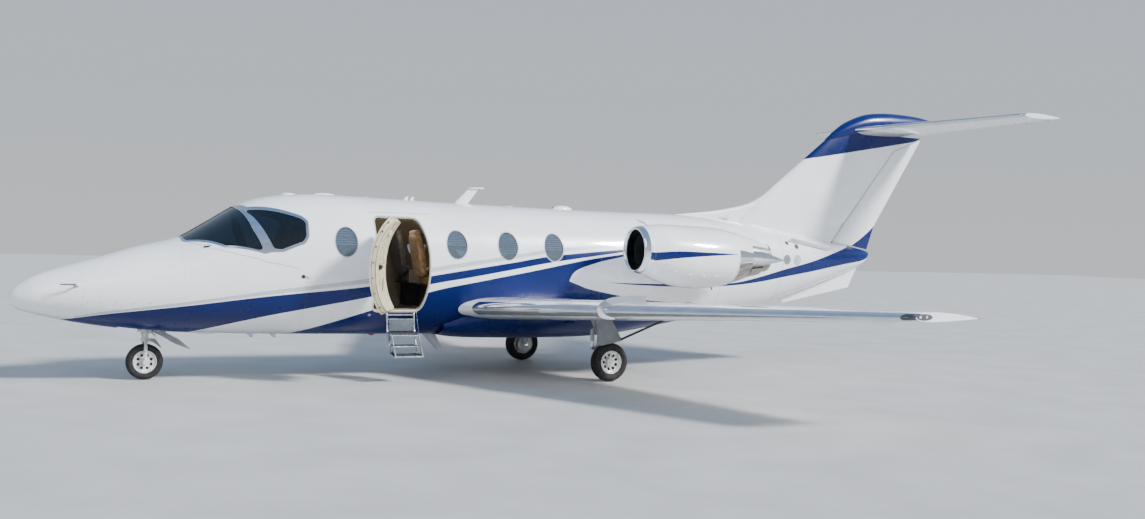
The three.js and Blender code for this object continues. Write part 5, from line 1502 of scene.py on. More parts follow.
def make_main_gear():
    """Trailing-arm leg, shock strut, braces, brake pack, door plate, wheel and tyre; mirrored to port."""
    x, y, z, w = MAIN_WHEEL["x"], MAIN_WHEEL["y"], MAIN_WHEEL["radius"], MAIN_WHEEL["width"] / 2
    inner = y - w - 60
    tyre = make_tyre(MAIN_WHEEL, y, (0.46, 0.16))
    wheel = make_wheel(MAIN_WHEEL, y, 9, 42)
    seat, cap = w * 0.72, y + w * 0.36
    wheel.turned([(-seat - 30, 40), (-seat - 30, 122), (-seat - 22, 126), (-seat + 30, 126),
                  (-seat + 30, 40)], "hot_steel", (x, y, z), "y", 48)

    leg = Piece().rod((x, inner - 30, z), (x, cap + 10, z), 28, "chromed_steel", sides=28)
    leg.turned([(cap + 8, 2), (cap + 8, 34), (cap + 20, 34), (cap + 30, 24), (cap + 34, 2)], "leg_enamel",
               (x, 0, z), "y", 28)
    arm = smooth_line([(x, inner, z), (x - 22, inner, z + 70), (x - 48, inner, 430), (x - 60, inner, 520)],
                      5)
    leg.pipe(arm, [44, 43, 42, 41, 40] + [40] * (len(arm) - 5), "leg_enamel", 24, 0.8)
    leg.turned([(440, 20), (440, 50), (452, 58), (490, 58), (502, 52), (640, 52), (652, 57), (690, 57),
                (702, 52), (1080, 52), (1100, 40), (1100, 20)], "leg_enamel", (x - 60, inner, 0), "z", 36)
    leg.rod((x - 190, inner, 440), (x - 190, inner, 560), 20, "chromed_steel", sides=24)
    leg.turned([(540, 10), (540, 26), (552, 30), (690, 30), (700, 24), (700, 10)], "leg_enamel",
               (x - 190, inner, 0), "z", 28)
    leg.pipe([(x - 190, inner, 690), (x - 150, inner, 720), (x - 70, inner, 735)], 18, "leg_enamel", 16)
    cross = soft_corners([(x - 212, 420), (x - 20, 420), (x - 20, 462), (x - 60, 470), (x - 212, 464)], 12)
    leg.plate(cross, inner - 22, inner + 22, "leg_enamel", "y", 4)
    leg.rod((x - 190, inner - 30, 442), (x - 190, inner + 30, 442), 12, "chromed_steel")
    leg.rod((x - 60, inner, 620), (x - 330, inner - 60, 1090), 22, "leg_enamel")
    leg.rod((x - 60, inner, 560), (x - 40, inner - 380, 900), 26, "leg_enamel")
    for low, high in ((642, 698), (822, 868)):
        leg.block((x - 88, inner, low), (x - 22, y + 80, high), "leg_enamel", 6)
    upper = soft_corners([(x - 20, 640), (x + 6, 600), (x + 96, 520), (x + 104, 540), (x + 30, 640)], 9)
    lower = soft_corners([(x + 104, 520), (x + 88, 508), (x + 20, 330), (x + 50, 330)], 9)
    leg.block((x + 122, y + 60, 562), (x + 152, y + 82, 594), "leg_enamel", 4)
    leg.rod((x + 138, y + 72, 577), (x + 60, 2700, 926), 15, "duct_lining", sides=20)
    leg.plate(upper, inner - 14, inner + 14, "leg_enamel", "y", 3)
    leg.plate(lower, inner - 14, inner + 14, "leg_enamel", "y", 3)
    leg.rod((x + 97, inner - 22, 524), (x + 97, inner + 22, 524), 9, "chromed_steel")
    # Brake pack: a disc with five pistons
    leg.plate(oval(x, z, 230, 230, 40), y - seat - 46, y - seat - 32, "leg_enamel", "y", 3)
    for a in (math.radians(40 + 56 * k) for k in range(5)):
        u, v = x + 84 * math.cos(a), z + 84 * math.sin(a)
        leg.rod((u, y - seat - 62, v), (u, y - seat - 40, v), 19, "leg_enamel", sides=20)

    outline = soft_corners([(x - 313, 990), (x - 30, 990), (x - 9, 819), (x + 70, 700), (x + 149, 557),
                            (x - 195, 493)], [6, 6, 30, 60, 22, 26])
    door = Piece().plate(outline, y + 81, y + 89, "gear_door_grey", "y", 2)
    for top, low in (((x - 250, 900), (x - 170, 560)), ((x - 60, 900), (x + 40, 620))):
        door.rod((top[0], y + 80.5, top[1]), (low[0], y + 80.5, low[1]), 7, "leg_enamel", sides=10)
    tyre.both("main_tyre_{}_rubber", "main_wheel_{}", "main_tyre_{}", slot="tyre")
    wheel.both("main_wheel_{}_cast", "main_wheel_{}", "main_wheel_{}", slot="gear_grey")
    leg.both("main_leg_{}_casting", node="main_gear_leg_{}", slot="gear_grey")
    door.both("main_door_{}_sheet", node="main_gear_door_{}")
    for word, out in (("right", 1), ("left", -1)):
        route = arc_path((x - 6, out * inner, 640), (x + 64, out * (y - seat - 58), z + 78), (70, 0, -30),
                         18)
        held_line(f"brake_hose_{word}", route, 5, "seal_rubber", "dark_trim")


make_main_gear()


# Door, its frame and the airstair
def swing_door(piece):
    """Turns a piece made with the door shut to where the open door stands."""
    x, y = DOOR_HINGE
    there = Matrix.Translation((x, y, 0))
    return piece.moved(there @ Matrix.Rotation(-math.radians(DOOR["open"]), 4, "Z") @ there.inverted())


def doorway_strip(made, outer, inner, finish_name, lift, thick, step=20):
    """Lays a strip round the doorway, between two insets from its edge."""
    return made.skin(hull, on_side(door_outline(outer)), finish_name, holes=[on_side(door_outline(inner))],
                     step=(step, step), sense=-1, lift=lift, thick=thick)


def wall_y(x, z, depth):
    """How far to port the cabin's wall is at a depth below the skin."""
    return depth - float(side_y(x, z)[0])


def make_door():
    """The cabin door: painted skin, cream liner and edges, latch pins, seal, handle works, hinge arms."""
    door = Piece().skin(hull, on_side(door_outline(8)), "white_topcoat", paint=paint_between(4200, 5100),
                        step=(50, 40), sense=-1, thick=14, inside="cream_liner", rim="cream_liner")
    for inset, lift, thick in ((14, -13, 72), (70, -84, 5)):
        door.skin(hull, on_side(door_outline(inset)), "cream_liner", step=(60, 44), sense=-1, lift=lift,
                  thick=thick)
    for lift in (-22, -74):
        doorway_strip(door, 13.0, 21.0, "seal_rubber", lift, 5, 40)
    # Latch pins along the free edge
    edge = door_outline(14)
    for z in (1010, 1180, 1370, 1560, 1760, 1950, 2060):
        x = max(x for x, height in edge if abs(height - z) < 40)
        y = wall_y(x, z, 46)
        door.rod((x - 16, y, z), (x + 5, y, z), 11, "hot_steel", sides=18)
        door.rod((x + 5, y, z), (x + 9, y, z), 6, "seal_rubber", sides=14)
    # Handle works on the liner: bracket, lever in its slot, lower box, upper box
    x, y = 4820, wall_y(4820, 1640, 90)
    bracket = smooth_line([(x, y, 1760), (x, y + 46, 1750), (x, y + 50, 1700), (x, y + 50, 1600),
                           (x, y + 46, 1560), (x, y, 1548)], 4)
    door.pipe(bracket, 10, "cream_liner", 12)
    door.block((x - 40, y - 10, 1470), (x + 46, y + 20, 1532), "black_vinyl", 8)
    lever = smooth_line([(x - 30, y + 16, 1500), (x - 10, y + 34, 1506), (x + 40, y + 36, 1520),
                         (x + 60, y + 30, 1526)], 4)
    door.pipe(lever, 8, "tan_hide", 12)
    x, y = 4800, wall_y(4800, 1300, 90)
    door.block((x - 60, y - 12, 1180), (x + 60, y + 34, 1400), "cream_liner", 14)
    door.block((x - 46, y + 30, 1210), (x + 46, y + 38, 1370), "wall_laminate", 6)
    x, y = 4700, wall_y(4700, 1960, 90)
    door.block((x - 70, y - 10, 1900), (x + 70, y + 14, 2010), "cream_liner", 12)
    # Hinge arms
    hx, hy = DOOR_HINGE
    plan = soft_corners([(hx - 12, hy - 12), (hx + 110, hy - 12), (hx + 110, -815), (hx + 26, -815),
                         (hx + 26, hy + 18), (hx - 12, hy + 18)], [10, 14, 3, 3, 8, 10], 4)
    for z in HINGE_HEIGHTS:
        door.plate(plan, z - 21, z + 21, "white_topcoat", "z", 2)
        door.rod((hx, hy, z - 22), (hx, hy, z + 22), 11, "chromed_steel")
    swing_door(door).place("cabin_door_shell", "cabin_door", ["cabin_door"], crease=30)


def make_doorway():
    """The frame: a grey bead, a cream bead and a seal in the reveal, screws, gutter, hinge brackets."""
    bead = Piece()
    doorway_strip(bead, -15, 0, "silver_stripe", 2.0, 4)
    doorway_strip(bead, 1, 5, "cream_liner", -8, 18)
    doorway_strip(bead, 0, 4, "seal_rubber", -34, 12)
    for x, z in door_outline(-8)[::7]:
        y = -float(side_y(x, z)[0])
        bead.rod((x, y - 1, z), (x, y - 3.6, z), 3.4, "hot_steel", sides=10)
    gutter = []
    for x in np.linspace(4235, 5095, 22):
        z = 2198 - 4 * ((x - 4665) / 430) ** 2
        gutter.append((x, -float(side_y(x, z)[0]) - 2, z))
    bead.pipe(gutter, 5, "silver_stripe", 8, 0.8)
    hx, hy = DOOR_HINGE
    for z in HINGE_HEIGHTS:
        for low in (z - 36.3, z + 22.3):
            bead.block((hx - 14, hy - 11, low), (hx + 11, -812, low + 14), "white_topcoat", 3)
        bead.rod((hx, hy, z - 36), (hx, hy, z + 36), 6, "chromed_steel")
    bead.place("doorway_frame", slot="lining")


make_door()
make_doorway()


def make_stair():
    """The folding airstair: upper frame over the sill, lower frame, treads, side plates and stay."""
    x0, x1 = 4490, 4860
    upper = smooth_line([(-645, 868), (-690, 886), (-716, 878), (-728, 830), (-758, 655), (-800, 630),
                         (-940, 606)], 5)
    lower = smooth_line([(-768, 592), (-835, 482), (-902, 392), (-960, 370), (-1120, 345)], 5)
    made = Piece()
    for x in (x0, x1):
        made.pipe([(x, u, v) for u, v in upper], 13, "rubbed_alloy", 16)
        made.pipe([(x, u, v) for u, v in lower], 13, "rubbed_alloy", 16)
        made.rod((x, -765, 642), (x, -772, 586), 12, "rubbed_alloy")
        made.rod((x, -940, 606), (x, -1118, 347), 9, "rubbed_alloy")
        for y, z in ((-764, 640), (-940, 606), (-770, 590), (-1116, 348)):
            made.rod((x - 17, y, z), (x + 17, y, z), 8, "chromed_steel", sides=14)
        side = x + (16 if x == x0 else -16)
        for plate in ([(-775, 632), (-932, 604), (-905, 560), (-800, 520)],
                      [(-912, 366), (-1108, 348), (-975, 480)]):
            made.plate(soft_corners(plate, 8), side - 1.5, side + 1.5, "rubbed_alloy", "x")

    for y0, z0, y1, z1, thick in ((-700, 872, -722, 872, 22), (-718, 812, -736, 812, 22),
                                  (-775, 640, -940, 612, 20), (-826, 480, -960, 470, 20),
                                  (-912, 371, -1120, 355, 20)):
        outline = soft_corners([(y0, z0), (y1, z1), (y1, z1 - thick), (y0, z0 - thick)], 5, 3)
        made.plate(outline, x0 + 6, x1 - 6, "rubbed_alloy", "x", 2)
        length = math.hypot(y1 - y0, z1 - z0)
        # Strips of grit across each tread, 34 mm apart; the two bars at the top have none
        count = int(length // 34) if length > 60 else 0
        for k in range(count):
            (ya, za), (yb, zb) = ((blend((y0, y1), t), blend((z0, z1), t))
                                  for t in ((k + 0.25) / count, (k + 0.75) / count))
            made.plate([(ya, za), (yb, zb), (yb, zb + 1.6), (ya, za + 1.6)], x0 + 24, x1 - 24, "grit_strip",
                       "x")
    # The riser behind the treads, its dark blue-grey partly painted shade
    riser = soft_corners([(-745, 795), (-752, 792), (-776, 652), (-768, 650)], 2)
    made.plate(riser, x0 + 22, x1 - 22, "riser_vinyl", "x", 1)
    for z, y in ((772, -738), (712, -750)):
        made.rod((x0, y, z), (x1, y, z), 8, "rubbed_alloy")
    made.rod((4905, -676, 893), (4905, -697, 893), 9, "chromed_steel", sides=14)
    made.place("airstair_frame", replaces=["airstair"], slot="polished")
    held_line("stair_stay_cable", arc_path((4905, -692, 893), (4860, -940, 620), (0, 0, -4), 16), 4,
              "chromed_steel", "steel")


make_stair()


# Cabin and cockpit
FLOOR = 900


def cushion(middle, size, lean, finish_name, channels=0, corner=0.34):
    """A stuffed cushion: a rounded block with a crown, drawn-in sides and sewn channels."""
    rows, columns, crown, drawn, sewn = 26, 40, 0.07, 0.035, 0.055

    def power(value):
        """Squares a round section up towards a block."""
        return math.copysign(abs(value) ** corner, value)
    rings = []
    for a in (math.pi * i / rows - math.pi / 2 for i in range(1, rows)):
        ring = []
        for b in angles(columns):
            u, v = power(math.cos(a)) * power(math.cos(b)), power(math.cos(a)) * power(math.sin(b))
            w = power(math.sin(a))
            bow = 1 + crown * (1 - u * u) * (1 - v * v)
            draw = 1 - drawn * (1 - w * w)
            dent = 0.0
            if channels and abs(w) > 0.4:
                dent = sewn * math.exp(-((((v + 1) * channels / 2) % 1 - 0.5) / 0.09) ** 2)
            ring.append((u * size[0] / 2 * draw, v * size[1] / 2 * draw, w * (bow - dent) * size[2] / 2))
        rings.append(ring)
    return Piece().loft(rings, finish_name).moved(Matrix.Translation(middle) @ Matrix.Rotation(lean, 4, "Y"))


def make_seats(name, places, width, hide, node):
    """A row of seats: shells and bases as one piece, cushions as another."""
    soft, hard = Piece(), Piece()
    for x, y, facing in places:
        wide, lean, base = width - 96, facing * 0.19, FLOOR
        soft.join(cushion((x - facing * 45, y, base + 405), (390, wide, 118), 0.0, hide, 3))
        soft.join(cushion((x + facing * 222, y, base + 745), (100, wide, 560), lean, hide))
        for k in (-1, 0, 1):
            middle = (x + facing * 172, y + k * wide / 3.2, base + 690)
            soft.join(cushion(middle, (44, wide / 3.3, 400), lean, hide, corner=0.5))
        soft.join(cushion((x + facing * 262, y, base + 1000), (92, wide * 0.72, 150), lean, hide))
        for side in SIDES:
            arm = y + side * (width / 2 - 26)
            soft.join(cushion((x + facing * 10, arm, base + 560), (330, 44, 52), 0.0, hide))
            hard.block((x - 130, arm - 14, base + 342), (x + 150, arm + 14, base + 540), "wall_laminate", 12)
        for long, half, low, high, finish_name, edge in ((200, width / 2 - 34, 332, 352, "black_vinyl", 8),
                                                         (140, width * 0.28, 26, 336, "black_vinyl", 20),
                                                         (148, width * 0.3, 2, 26, "rubbed_alloy", 5)):
            hard.block((x - long, y - half, base + low), (x + long, y + half, base + high), finish_name,
                       edge)
    hard.place(f"{name}_frames", replaces=[node], slot="dark_trim")
    made = soft.place(f"{name}_cushions", slot="leather", crease=80)


# The grey hide on the cockpit seats and the starboard row is painted shade: the tan hide darkened
make_seats("cockpit_seats", [(3080, 330, 1), (3080, -330, 1)], 430, "grey_hide", "cockpit_seats")
make_seats("cabin_seats_left", [(5235, -390, -1), (6550, -390, 1)], 460, "tan_hide", "cabin_seats_left")
make_seats("cabin_seats_right", [(4300, 390, 1), (5235, 390, -1), (6550, 390, 1)], 460, "grey_hide",
           "cabin_seats_right")


def make_panel():
    """Instrument panel with its glareshield, screens, and the two control wheels."""
    made = Piece()
    outline = soft_corners([(2160, 1500), (2560, 1502), (2630, 1640), (2640, 1660), (2480, 1700),
                            (2160, 1690)], 12)
    made.plate(outline, -560, 560, "black_vinyl", "y", 6)
    shade = soft_corners([(2170, 1700), (2480, 1745), (2715, 1690), (2690, 1672), (2480, 1722),
                          (2170, 1680)], 8)
    made.plate(shade, -585, 585, "black_vinyl", "y", 6)
    for y in (-430, -250, 0, 250, 430):
        made.block((2604, y - 76, 1545), (2622, y + 76, 1668), "duct_lining", 5)
        made.block((2614, y - 64, 1556), (2626, y + 64, 1656), "smoked_acrylic", 3)
    for y in (-330, 330):
        wheel = smooth_line([(2760, y - 120, 1560), (2760, y - 128, 1500), (2760, y - 80, 1450),
                             (2760, y, 1440), (2760, y + 80, 1450), (2760, y + 128, 1500),
                             (2760, y + 120, 1560)], 5)
        made.pipe(wheel, 13, "black_vinyl", 12)
        made.rod((2560, y, 1520), (2760, y, 1445), 16, "chromed_steel")
    made.place("instrument_panel_trim", replaces=["instrument_panel"], slot="dark_trim")


make_panel()

for node_name, finish_name in (("cabin_floor", "wool_carpet"), ("aft_bulkhead", "wall_laminate")):
    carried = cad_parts[node_name]
    carried.data.materials.clear()
    carried.data.materials.append(FINISH[finish_name])


# Small things on the skin
def hull_at(x, z, side):
    """The point of the hull at a station and height, and the way the skin faces there."""
    u, v = on_side([(x, z)], side)[0]
    spot = hull(np.array([u]), np.array([v]))[0]
    du = hull(np.array([u + 1]), np.array([v]))[0] - spot
    dv = hull(np.array([u]), np.array([v + 1]))[0] - spot
    facing = -np.cross(du, dv)
    return Vector(spot), Vector(facing).normalized()


def ribbon(made, surface, path, width, high, finish_name, sense=-1, closed=False, step=30):
    """Lays a low strip along a path on a surface: a panel gap, a sealant line or a rib."""
    path = finer(np.array(path, float), step, closed)
    if closed:
        path = np.vstack([path, path[:2]])
    spots = surface(path[:, 0], path[:, 1])
    du = surface(path[:, 0] + 1, path[:, 1]) - spots
    dv = surface(path[:, 0], path[:, 1] + 1) - spots
    rings = []
    for i, spot in enumerate(spots):
        facing = Vector(np.cross(du[i], dv[i]) * sense).normalized()
        along = Vector(spots[min(i + 1, len(spots) - 1)] - spots[max(i - 1, 0)]).normalized()
        across = along.cross(facing).normalized() * (width / 2)
        spot = Vector(spot)
        rings.append([spot - across - facing, spot - across * 0.8 + facing * high,
                      spot + across * 0.8 + facing * high, spot + across - facing])
    return made.loft(rings, finish_name)


def stud(made, spot, facing, radius, high, finish_name, sides=10):
    """A low round head on the skin."""
    return made.rod(spot - facing * 2, spot + facing * high, radius, finish_name, sides=sides)


def blade(made, root, tip, thick, finish_name):
    """An upright blade on the centre line: root and tip hold its front and back corners."""
    rings = []
    for t in np.linspace(0, 1, 5):
        front = [a + (b - a) * t for a, b in zip(root[0], tip[0])]
        back = [a + (b - a) * t for a, b in zip(root[1], tip[1])]
        ring = []
        for f, half in ((0, 0), (0.12, 0.8), (0.4, 1), (0.75, 0.6), (1, 0.05), (0.75, -0.6), (0.4, -1),
                        (0.12, -0.8)):
            ring.append((front[0] + (back[0] - front[0]) * f, half * thick / 2 * (1 - 0.35 * t),
                         front[1] + (back[1] - front[1]) * f))
        rings.append(ring)
    return made.loft(rings, finish_name)


def dome(made, x, z, length, width, high, finish_name, up=1):
    """A low streamlined cover on the centre line."""
    rings = []
    for t in np.linspace(0, math.pi / 2, 7)[:-1]:
        rings.append([(x + length / 2 * math.cos(t) * math.cos(a), width / 2 * math.cos(t) * math.sin(a),
                       z + up * high * math.sin(t)) for a in angles(28)])
    return made.loft(rings, finish_name)


def make_side_details(gaps, heads, fittings, side):
    """What both sides of the hull carry: gaps, fasteners, probe, vane, ports, strake, louvres and hatch."""
    nose_line = [(1935, 1757), (2027, 1728), (2268, 1666), (2539, 1606), (2907, 1518), (3290, 1441)]
    ribbon(gaps, hull, on_side(nose_line, side), 5, 0.8, "seam_shadow")
    spots = [(x, z) for x, low, high, count in ((533, 880, 1210, 5), (801, 870, 1330, 6),
                                                (1777, 991, 1605, 5)) for z in np.linspace(low, high, count)]
    for x, z in spots + [(x, 991) for x in (853, 982, 1170, 1360, 1551, 1732)]:
        stud(heads, *hull_at(x, z, side), 6, 1.2, "hot_steel")
    for x in (3399.5, 7600):
        for z in np.linspace(700, 2250, 24):
            stud(heads, *hull_at(x + 16, z, side), 2.5, 0.8, "silver_stripe", 6)
    # Pitot tube: a swept mast with its tube forward
    spot, facing = hull_at(715, 1180, side)
    reach = spot + facing * 78
    mast = [spot - facing * 4 + Vector((22, 0, 0)), spot + facing * 30 + Vector((8, 0, 0)), reach]
    fittings.pipe(mast, [26, 20, 13], "hot_steel", 14, 0.5)
    fittings.rod(reach + Vector((26, 0, 0)), reach - Vector((150, 0, 0)), 12, "hot_steel", 8)
    # Vane of the angle sensor: a dark disc with a small arm trailing aft
    spot, facing = hull_at(3350, 1350, side)
    stud(fittings, spot, facing, 24, 3, "seam_shadow", 24)
    stud(fittings, spot, facing, 12, 18, "black_vinyl", 16)
    arm = [spot + facing * out + Vector((x, 0, z)) for out, x, z in ((14, 0, 0), (16, 60, -4), (14, 95, -8))]
    fittings.pipe(arm, [8, 6, 2], "black_vinyl", 10, 0.5)
    # A static port at the door, then the tail's two large slotted ports and two small ones. The black discs
    # of the door port and the two small ones are painted shade in their holes.
    ports = ((4275, 853, 11, "black_vinyl"), (11132, 1968, 32, "black_vinyl"),
             (11331, 1916, 40, "black_vinyl"), (11091, 1708, 68, "gear_door_grey"),
             (11318, 1702, 68, "silver_stripe"))
    for x, z, radius, finish_name in ports:
        spot, facing = hull_at(x, z, side)
        stud(fittings, spot, facing, radius + 8, 1.5, "hot_steel" if radius > 60 else "silver_stripe", 28)
        stud(fittings, spot, facing, radius, 2.2, finish_name, 28)
    for x, z in ((11100, 1708), (11302, 1702)):
        ribbon(fittings, hull, on_side([(x, z + 62), (x, z - 62)], side), 9, 3.4, "seam_shadow")
    strake = on_side([(11205, 2001), (11600, 1946), (12056, 1877)], side)
    ribbon(fittings, hull, strake, 22, 84, "white_topcoat")
    # Louvres above the pylon: black strips that are painted shade in their slots
    for x, z in ((8376 + 30 * k, 2249 - 14 * k) for k in range(4)):
        ribbon(fittings, hull, on_side([(x, z), (x + 44, z - 54)], side), 9, 1.5, "black_vinyl")
    # Outline of the tail hatch and of the belly panels
    hatch = soft_corners([(9750, 1560), (10450, 1620), (10450, 1980), (9750, 1960)], 60)
    ribbon(gaps, hull, on_side(hatch, side), 3.5, 0.7, "seam_shadow", closed=True)
    for x in (9760, 11000):
        line = np.array([(x, ROUND * t) for t in np.linspace(0.02, 0.48, 12)])
        ribbon(gaps, hull, line if side < 0 else over(line), 3, 0.6, "seam_shadow")


def roof(x):
    """The height of the hull's centre line on top."""
    return float(hull(np.array([x]), np.array([0.0]))[0][2])


def keel(x):
    """The height of the hull's centre line below."""
    return float(hull(np.array([x]), np.array([ROUND / 2]))[0][2])


def make_hull_details():
    """Panel gaps, fasteners, probes, vanes, ports, strakes, vents and aerials."""
    gaps, heads, fittings = Piece(), Piece(), Piece()
    for side in SIDES:
        make_side_details(gaps, heads, fittings, side)
    # Emergency exit round the second starboard window
    x = WINDOW["at"][2]
    exit_edge = soft_corners([(x - 285, 1420), (x + 285, 1420), (x + 285, 2120), (x - 285, 2120)], 110)
    ribbon(gaps, hull, on_side(exit_edge, 1), 4, 0.8, "seam_shadow", closed=True)
    ribbon(fittings, hull, on_side([(x - 60, 2085), (x + 60, 2085)], 1), 34, 2.5, "silver_stripe")
    gaps.place("hull_panel_gaps", slot="dark_trim")
    heads.place("hull_fasteners", slot="steel")

    # Roof: low covers and a disc, two raked prongs, tall blade with its plate, air scoop
    for x, sunk, length, width, high in ((3336, 4, 210, 120, 26), (3812, 4, 290, 110, 26),
                                         (4377, 3, 112, 90, 10), (6512, 3, 130, 90, 12),
                                         (7360, 6, 330, 130, 62)):
        dome(fittings, x, roof(x) - sunk, length, width, high, "white_topcoat")
    for x in (4918, 5004):
        blade(fittings, ((x, roof(x) - 6), (x + 60, roof(x) - 6)),
              ((x + 42, roof(x) + 46), (x + 76, roof(x) + 46)), 16, "white_topcoat")
    base = roof(5700)
    blade(fittings, ((5668, base - 8), (5864, roof(5864) - 8)), ((5890, base + 218), (6040, base + 222)), 26,
          "white_topcoat")
    tip = smooth_line([(5872, 0), (5900, 34), (6000, 44), (6098, 30), (6110, 0)], 4)
    outline = list(tip) + [(u, -v) for u, v in tip[::-1]][1:-1]
    fittings.plate(outline, base + 216, base + 232, "white_topcoat", "z", 5)
    fittings.rod((7205, 0, roof(7205) + 14), (7228, 0, roof(7205) + 18), 12, "black_vinyl")
    # Air outlet on the port side of the dorsal ridge: a wedge whose mouth faces aft, closed by a flat face
    # in painted shade
    mouth = [(10262, -38, 2318), (10262, -82, 2324), (10262, -82, 2392), (10262, -36, 2400)]
    point = [(10050, -38, 2336), (10050, -40, 2338), (10050, -40, 2346), (10050, -38, 2348)]
    fittings.loft([point, mouth], "white_topcoat", caps=(True, False))
    fittings.take(mouth, [(0, 1, 2, 3)], "duct_lining")
    # Belly: marker plate, two short fins, swept blade, red lamp
    dome(fittings, 2316, keel(2316) + 4, 374, 90, 22, "white_topcoat", -1)
    for x in (2821, 3119):
        blade(fittings, ((x, keel(x) + 6), (x + 96, keel(x) + 6)),
              ((x + 66, keel(x) - 52), (x + 100, keel(x) - 56)), 16, "silver_stripe")
    blade(fittings, ((5201, 590), (5420, 590)), ((5466, 318), (5560, 330)), 24, "silver_stripe")
    dome(fittings, 4520, keel(4520) + 4, 90, 90, 30, "red_lamp", -1)
    fittings.place("hull_fittings")

    wicks = Piece()
    for side in SIDES:
        for y in (5250, 5600, 5950, 6300):
            x, _, z = wing_place(y, wing_at(y)[2], 0)
            wicks.rod((x - 14, side * y, z + 3), (x + 105, side * (y + 12), z + 6), 3, "black_vinyl", 2, 8)
        for y in (1500, 1900, 2250):
            x, z, chord = tailplane_at(y)
            x += chord
            wicks.rod((x - 14, side * y, z), (x + 50, side * (y + 6), z - 4), 3, "black_vinyl", 2, 8)
        wicks.rod((8950, side * 6540, 1240), (9110, side * 6555, 1236), 6, "amber_lamp", 3, 8)
    wicks.place("static_wicks_wing", slot="dark_trim")


make_hull_details()


def wing_skin(upper):
    """The wing's upper (1) or lower (-1) skin as a surface of span and thousandths of the chord."""
    def surface(y, f):
        return np.array([wing_place(one_y, *wing_surface(one_y, one_f, upper))
                         for one_y, one_f in zip(np.atleast_1d(y), np.atleast_1d(f) / 1000)])
    return surface


def make_wing_details():
    """Aileron and flap gaps, access covers, fuel caps, the stall strip and the tip lamps."""
    gaps, fittings, lamps = Piece(), Piece(), Piece()
    low, high = wing_skin(-1), wing_skin(1)
    for surface, upper in ((high, 1), (low, -1)):
        aileron = [(4960, 995), (4960, 760), (6380, 760), (6380, 995)]
        for row in (aileron, [(5650, 770), (5650, 990)], [(1000, 120), (6350, 190)],
                    [(1000, 640), (4900, 655)]):
            ribbon(gaps, surface, row, 4, 0.7, "seam_shadow", upper, step=60)
        for y in (1800, 2700, 3600, 4500, 5400):
            ribbon(gaps, surface, [(y, 130), (y, 640)], 3, 0.5, "silver_stripe", upper, step=60)
    for y in (1500, 2300, 3100, 3900, 4700):
        ribbon(gaps, low, oval(y, 420, 220, 120, 24), 4, 0.7, "seam_shadow", -1, closed=True, step=40)
    for y, f in ((4300, 330), (1450, 520)):
        spot = Vector(high(y, f)[0])
        stud(fittings, spot, Vector((0, 0, 1)), 46, 3, "rubbed_alloy", 32)
        stud(fittings, spot, Vector((0, 0, 1)), 14, 5, "hot_steel", 16)
    # Stall strip: a small wedge along the leading edge
    rows = []
    for y in np.linspace(1750, 2050, 6):
        spot = Vector(wing_place(y, 0, 0))
        rows.append([spot + Vector((4, 0, 9)), spot + Vector((-11, 0, 0)), spot + Vector((4, 0, -9))])
    fittings.loft(rows, "polished_edge")
    # Pale lens low on the inner leading edge
    ends = [(wing_at(y)[0] + 4, y, wing_at(y)[1] - 27) for y in (2060, 2330)]
    lamps.rod(*ends, 12, "clear_lamp", 2, 20)
    # Two lamps behind the tip lens, and the coloured one at its front
    z = wing_at(6622)[1]
    for x in (8150, 8235):
        lamps.rod((x, 6622, z + 8), (x, 6624.9, z + 8), 15, "clear_lamp", sides=24)
    gaps.both("wing_{}_panel_gaps", slot="dark_trim")
    fittings.both("wing_{}_fittings", slot="polished")
    lamps.both("wing_{}_lamp", slot="glass")
    starboard, port = (Piece().rod((8112, 6620, z + 4), (8112, 6624.7, z + 4), 9, colour, sides=20)
                       for colour in ("clear_lamp", "red_lamp"))
    starboard.place("wing_right_tip_lamp", slot="glass")
    port.mirrored().place("wing_left_tip_lamp", slot="glass")


make_wing_details()


def cowl_at(x, turn):
    """The point of the cowl at a station and an angle from the outboard side, and the way it faces."""
    spot = Vector(cowl_surface(np.array([x]), np.array([COWL_GIRTH * turn]))[0])
    height = float(section(COWL, x)[1][0])
    return spot, (spot - Vector((x, ENGINE["y"], height))).normalized()


def make_engine_details():
    """Hinge line, latches, drain and the rows of fasteners at the lip and the reverser."""
    gaps, heads = Piece(), Piece()
    ribbon(gaps, cowl_surface, [(7950, -1.5 * COWL_GIRTH), (9280, -1.5 * COWL_GIRTH)], 4, 0.8,
           "seam_shadow", 1)
    rows = [(8080, a) for a in np.linspace(-1.5, 0.75, 14)] + [(9275, a) for a in np.linspace(-1.4, 0.4, 16)]
    rows += [(8087 + 1171 * t, -0.42 - 0.086 * t) for t in np.linspace(0, 1, 14)]
    for x, a in rows:
        stud(heads, *cowl_at(x, a), 5.5, 1.2, "seam_shadow", 8)
    heads.rod((9065, ENGINE["y"], 1302), (9078, ENGINE["y"], 1266), 9, "seam_shadow", sides=12)
    for x in (8260, 8480, 8700, 8900):
        spot, facing = cowl_at(x, -0.62)
        latch = facing * 2 + Vector((24, 0, 0))
        heads.rod(spot - latch, spot + latch, 7, "silver_stripe", sides=8)
    gaps.both("engine_{}_panel_gaps", slot="dark_trim")
    heads.both("engine_{}_fasteners", slot="steel")


make_engine_details()


# How far each blind is drawn, from the front window aft, and its pleats in mm
DRAWN = (0.62, 0.7, 0.55, 0.8, 0.66)
BLIND = dict(half_width=142, half_height=178, reveal=186, pleat=15, depth=22, fold=13, flat_width=0.284)


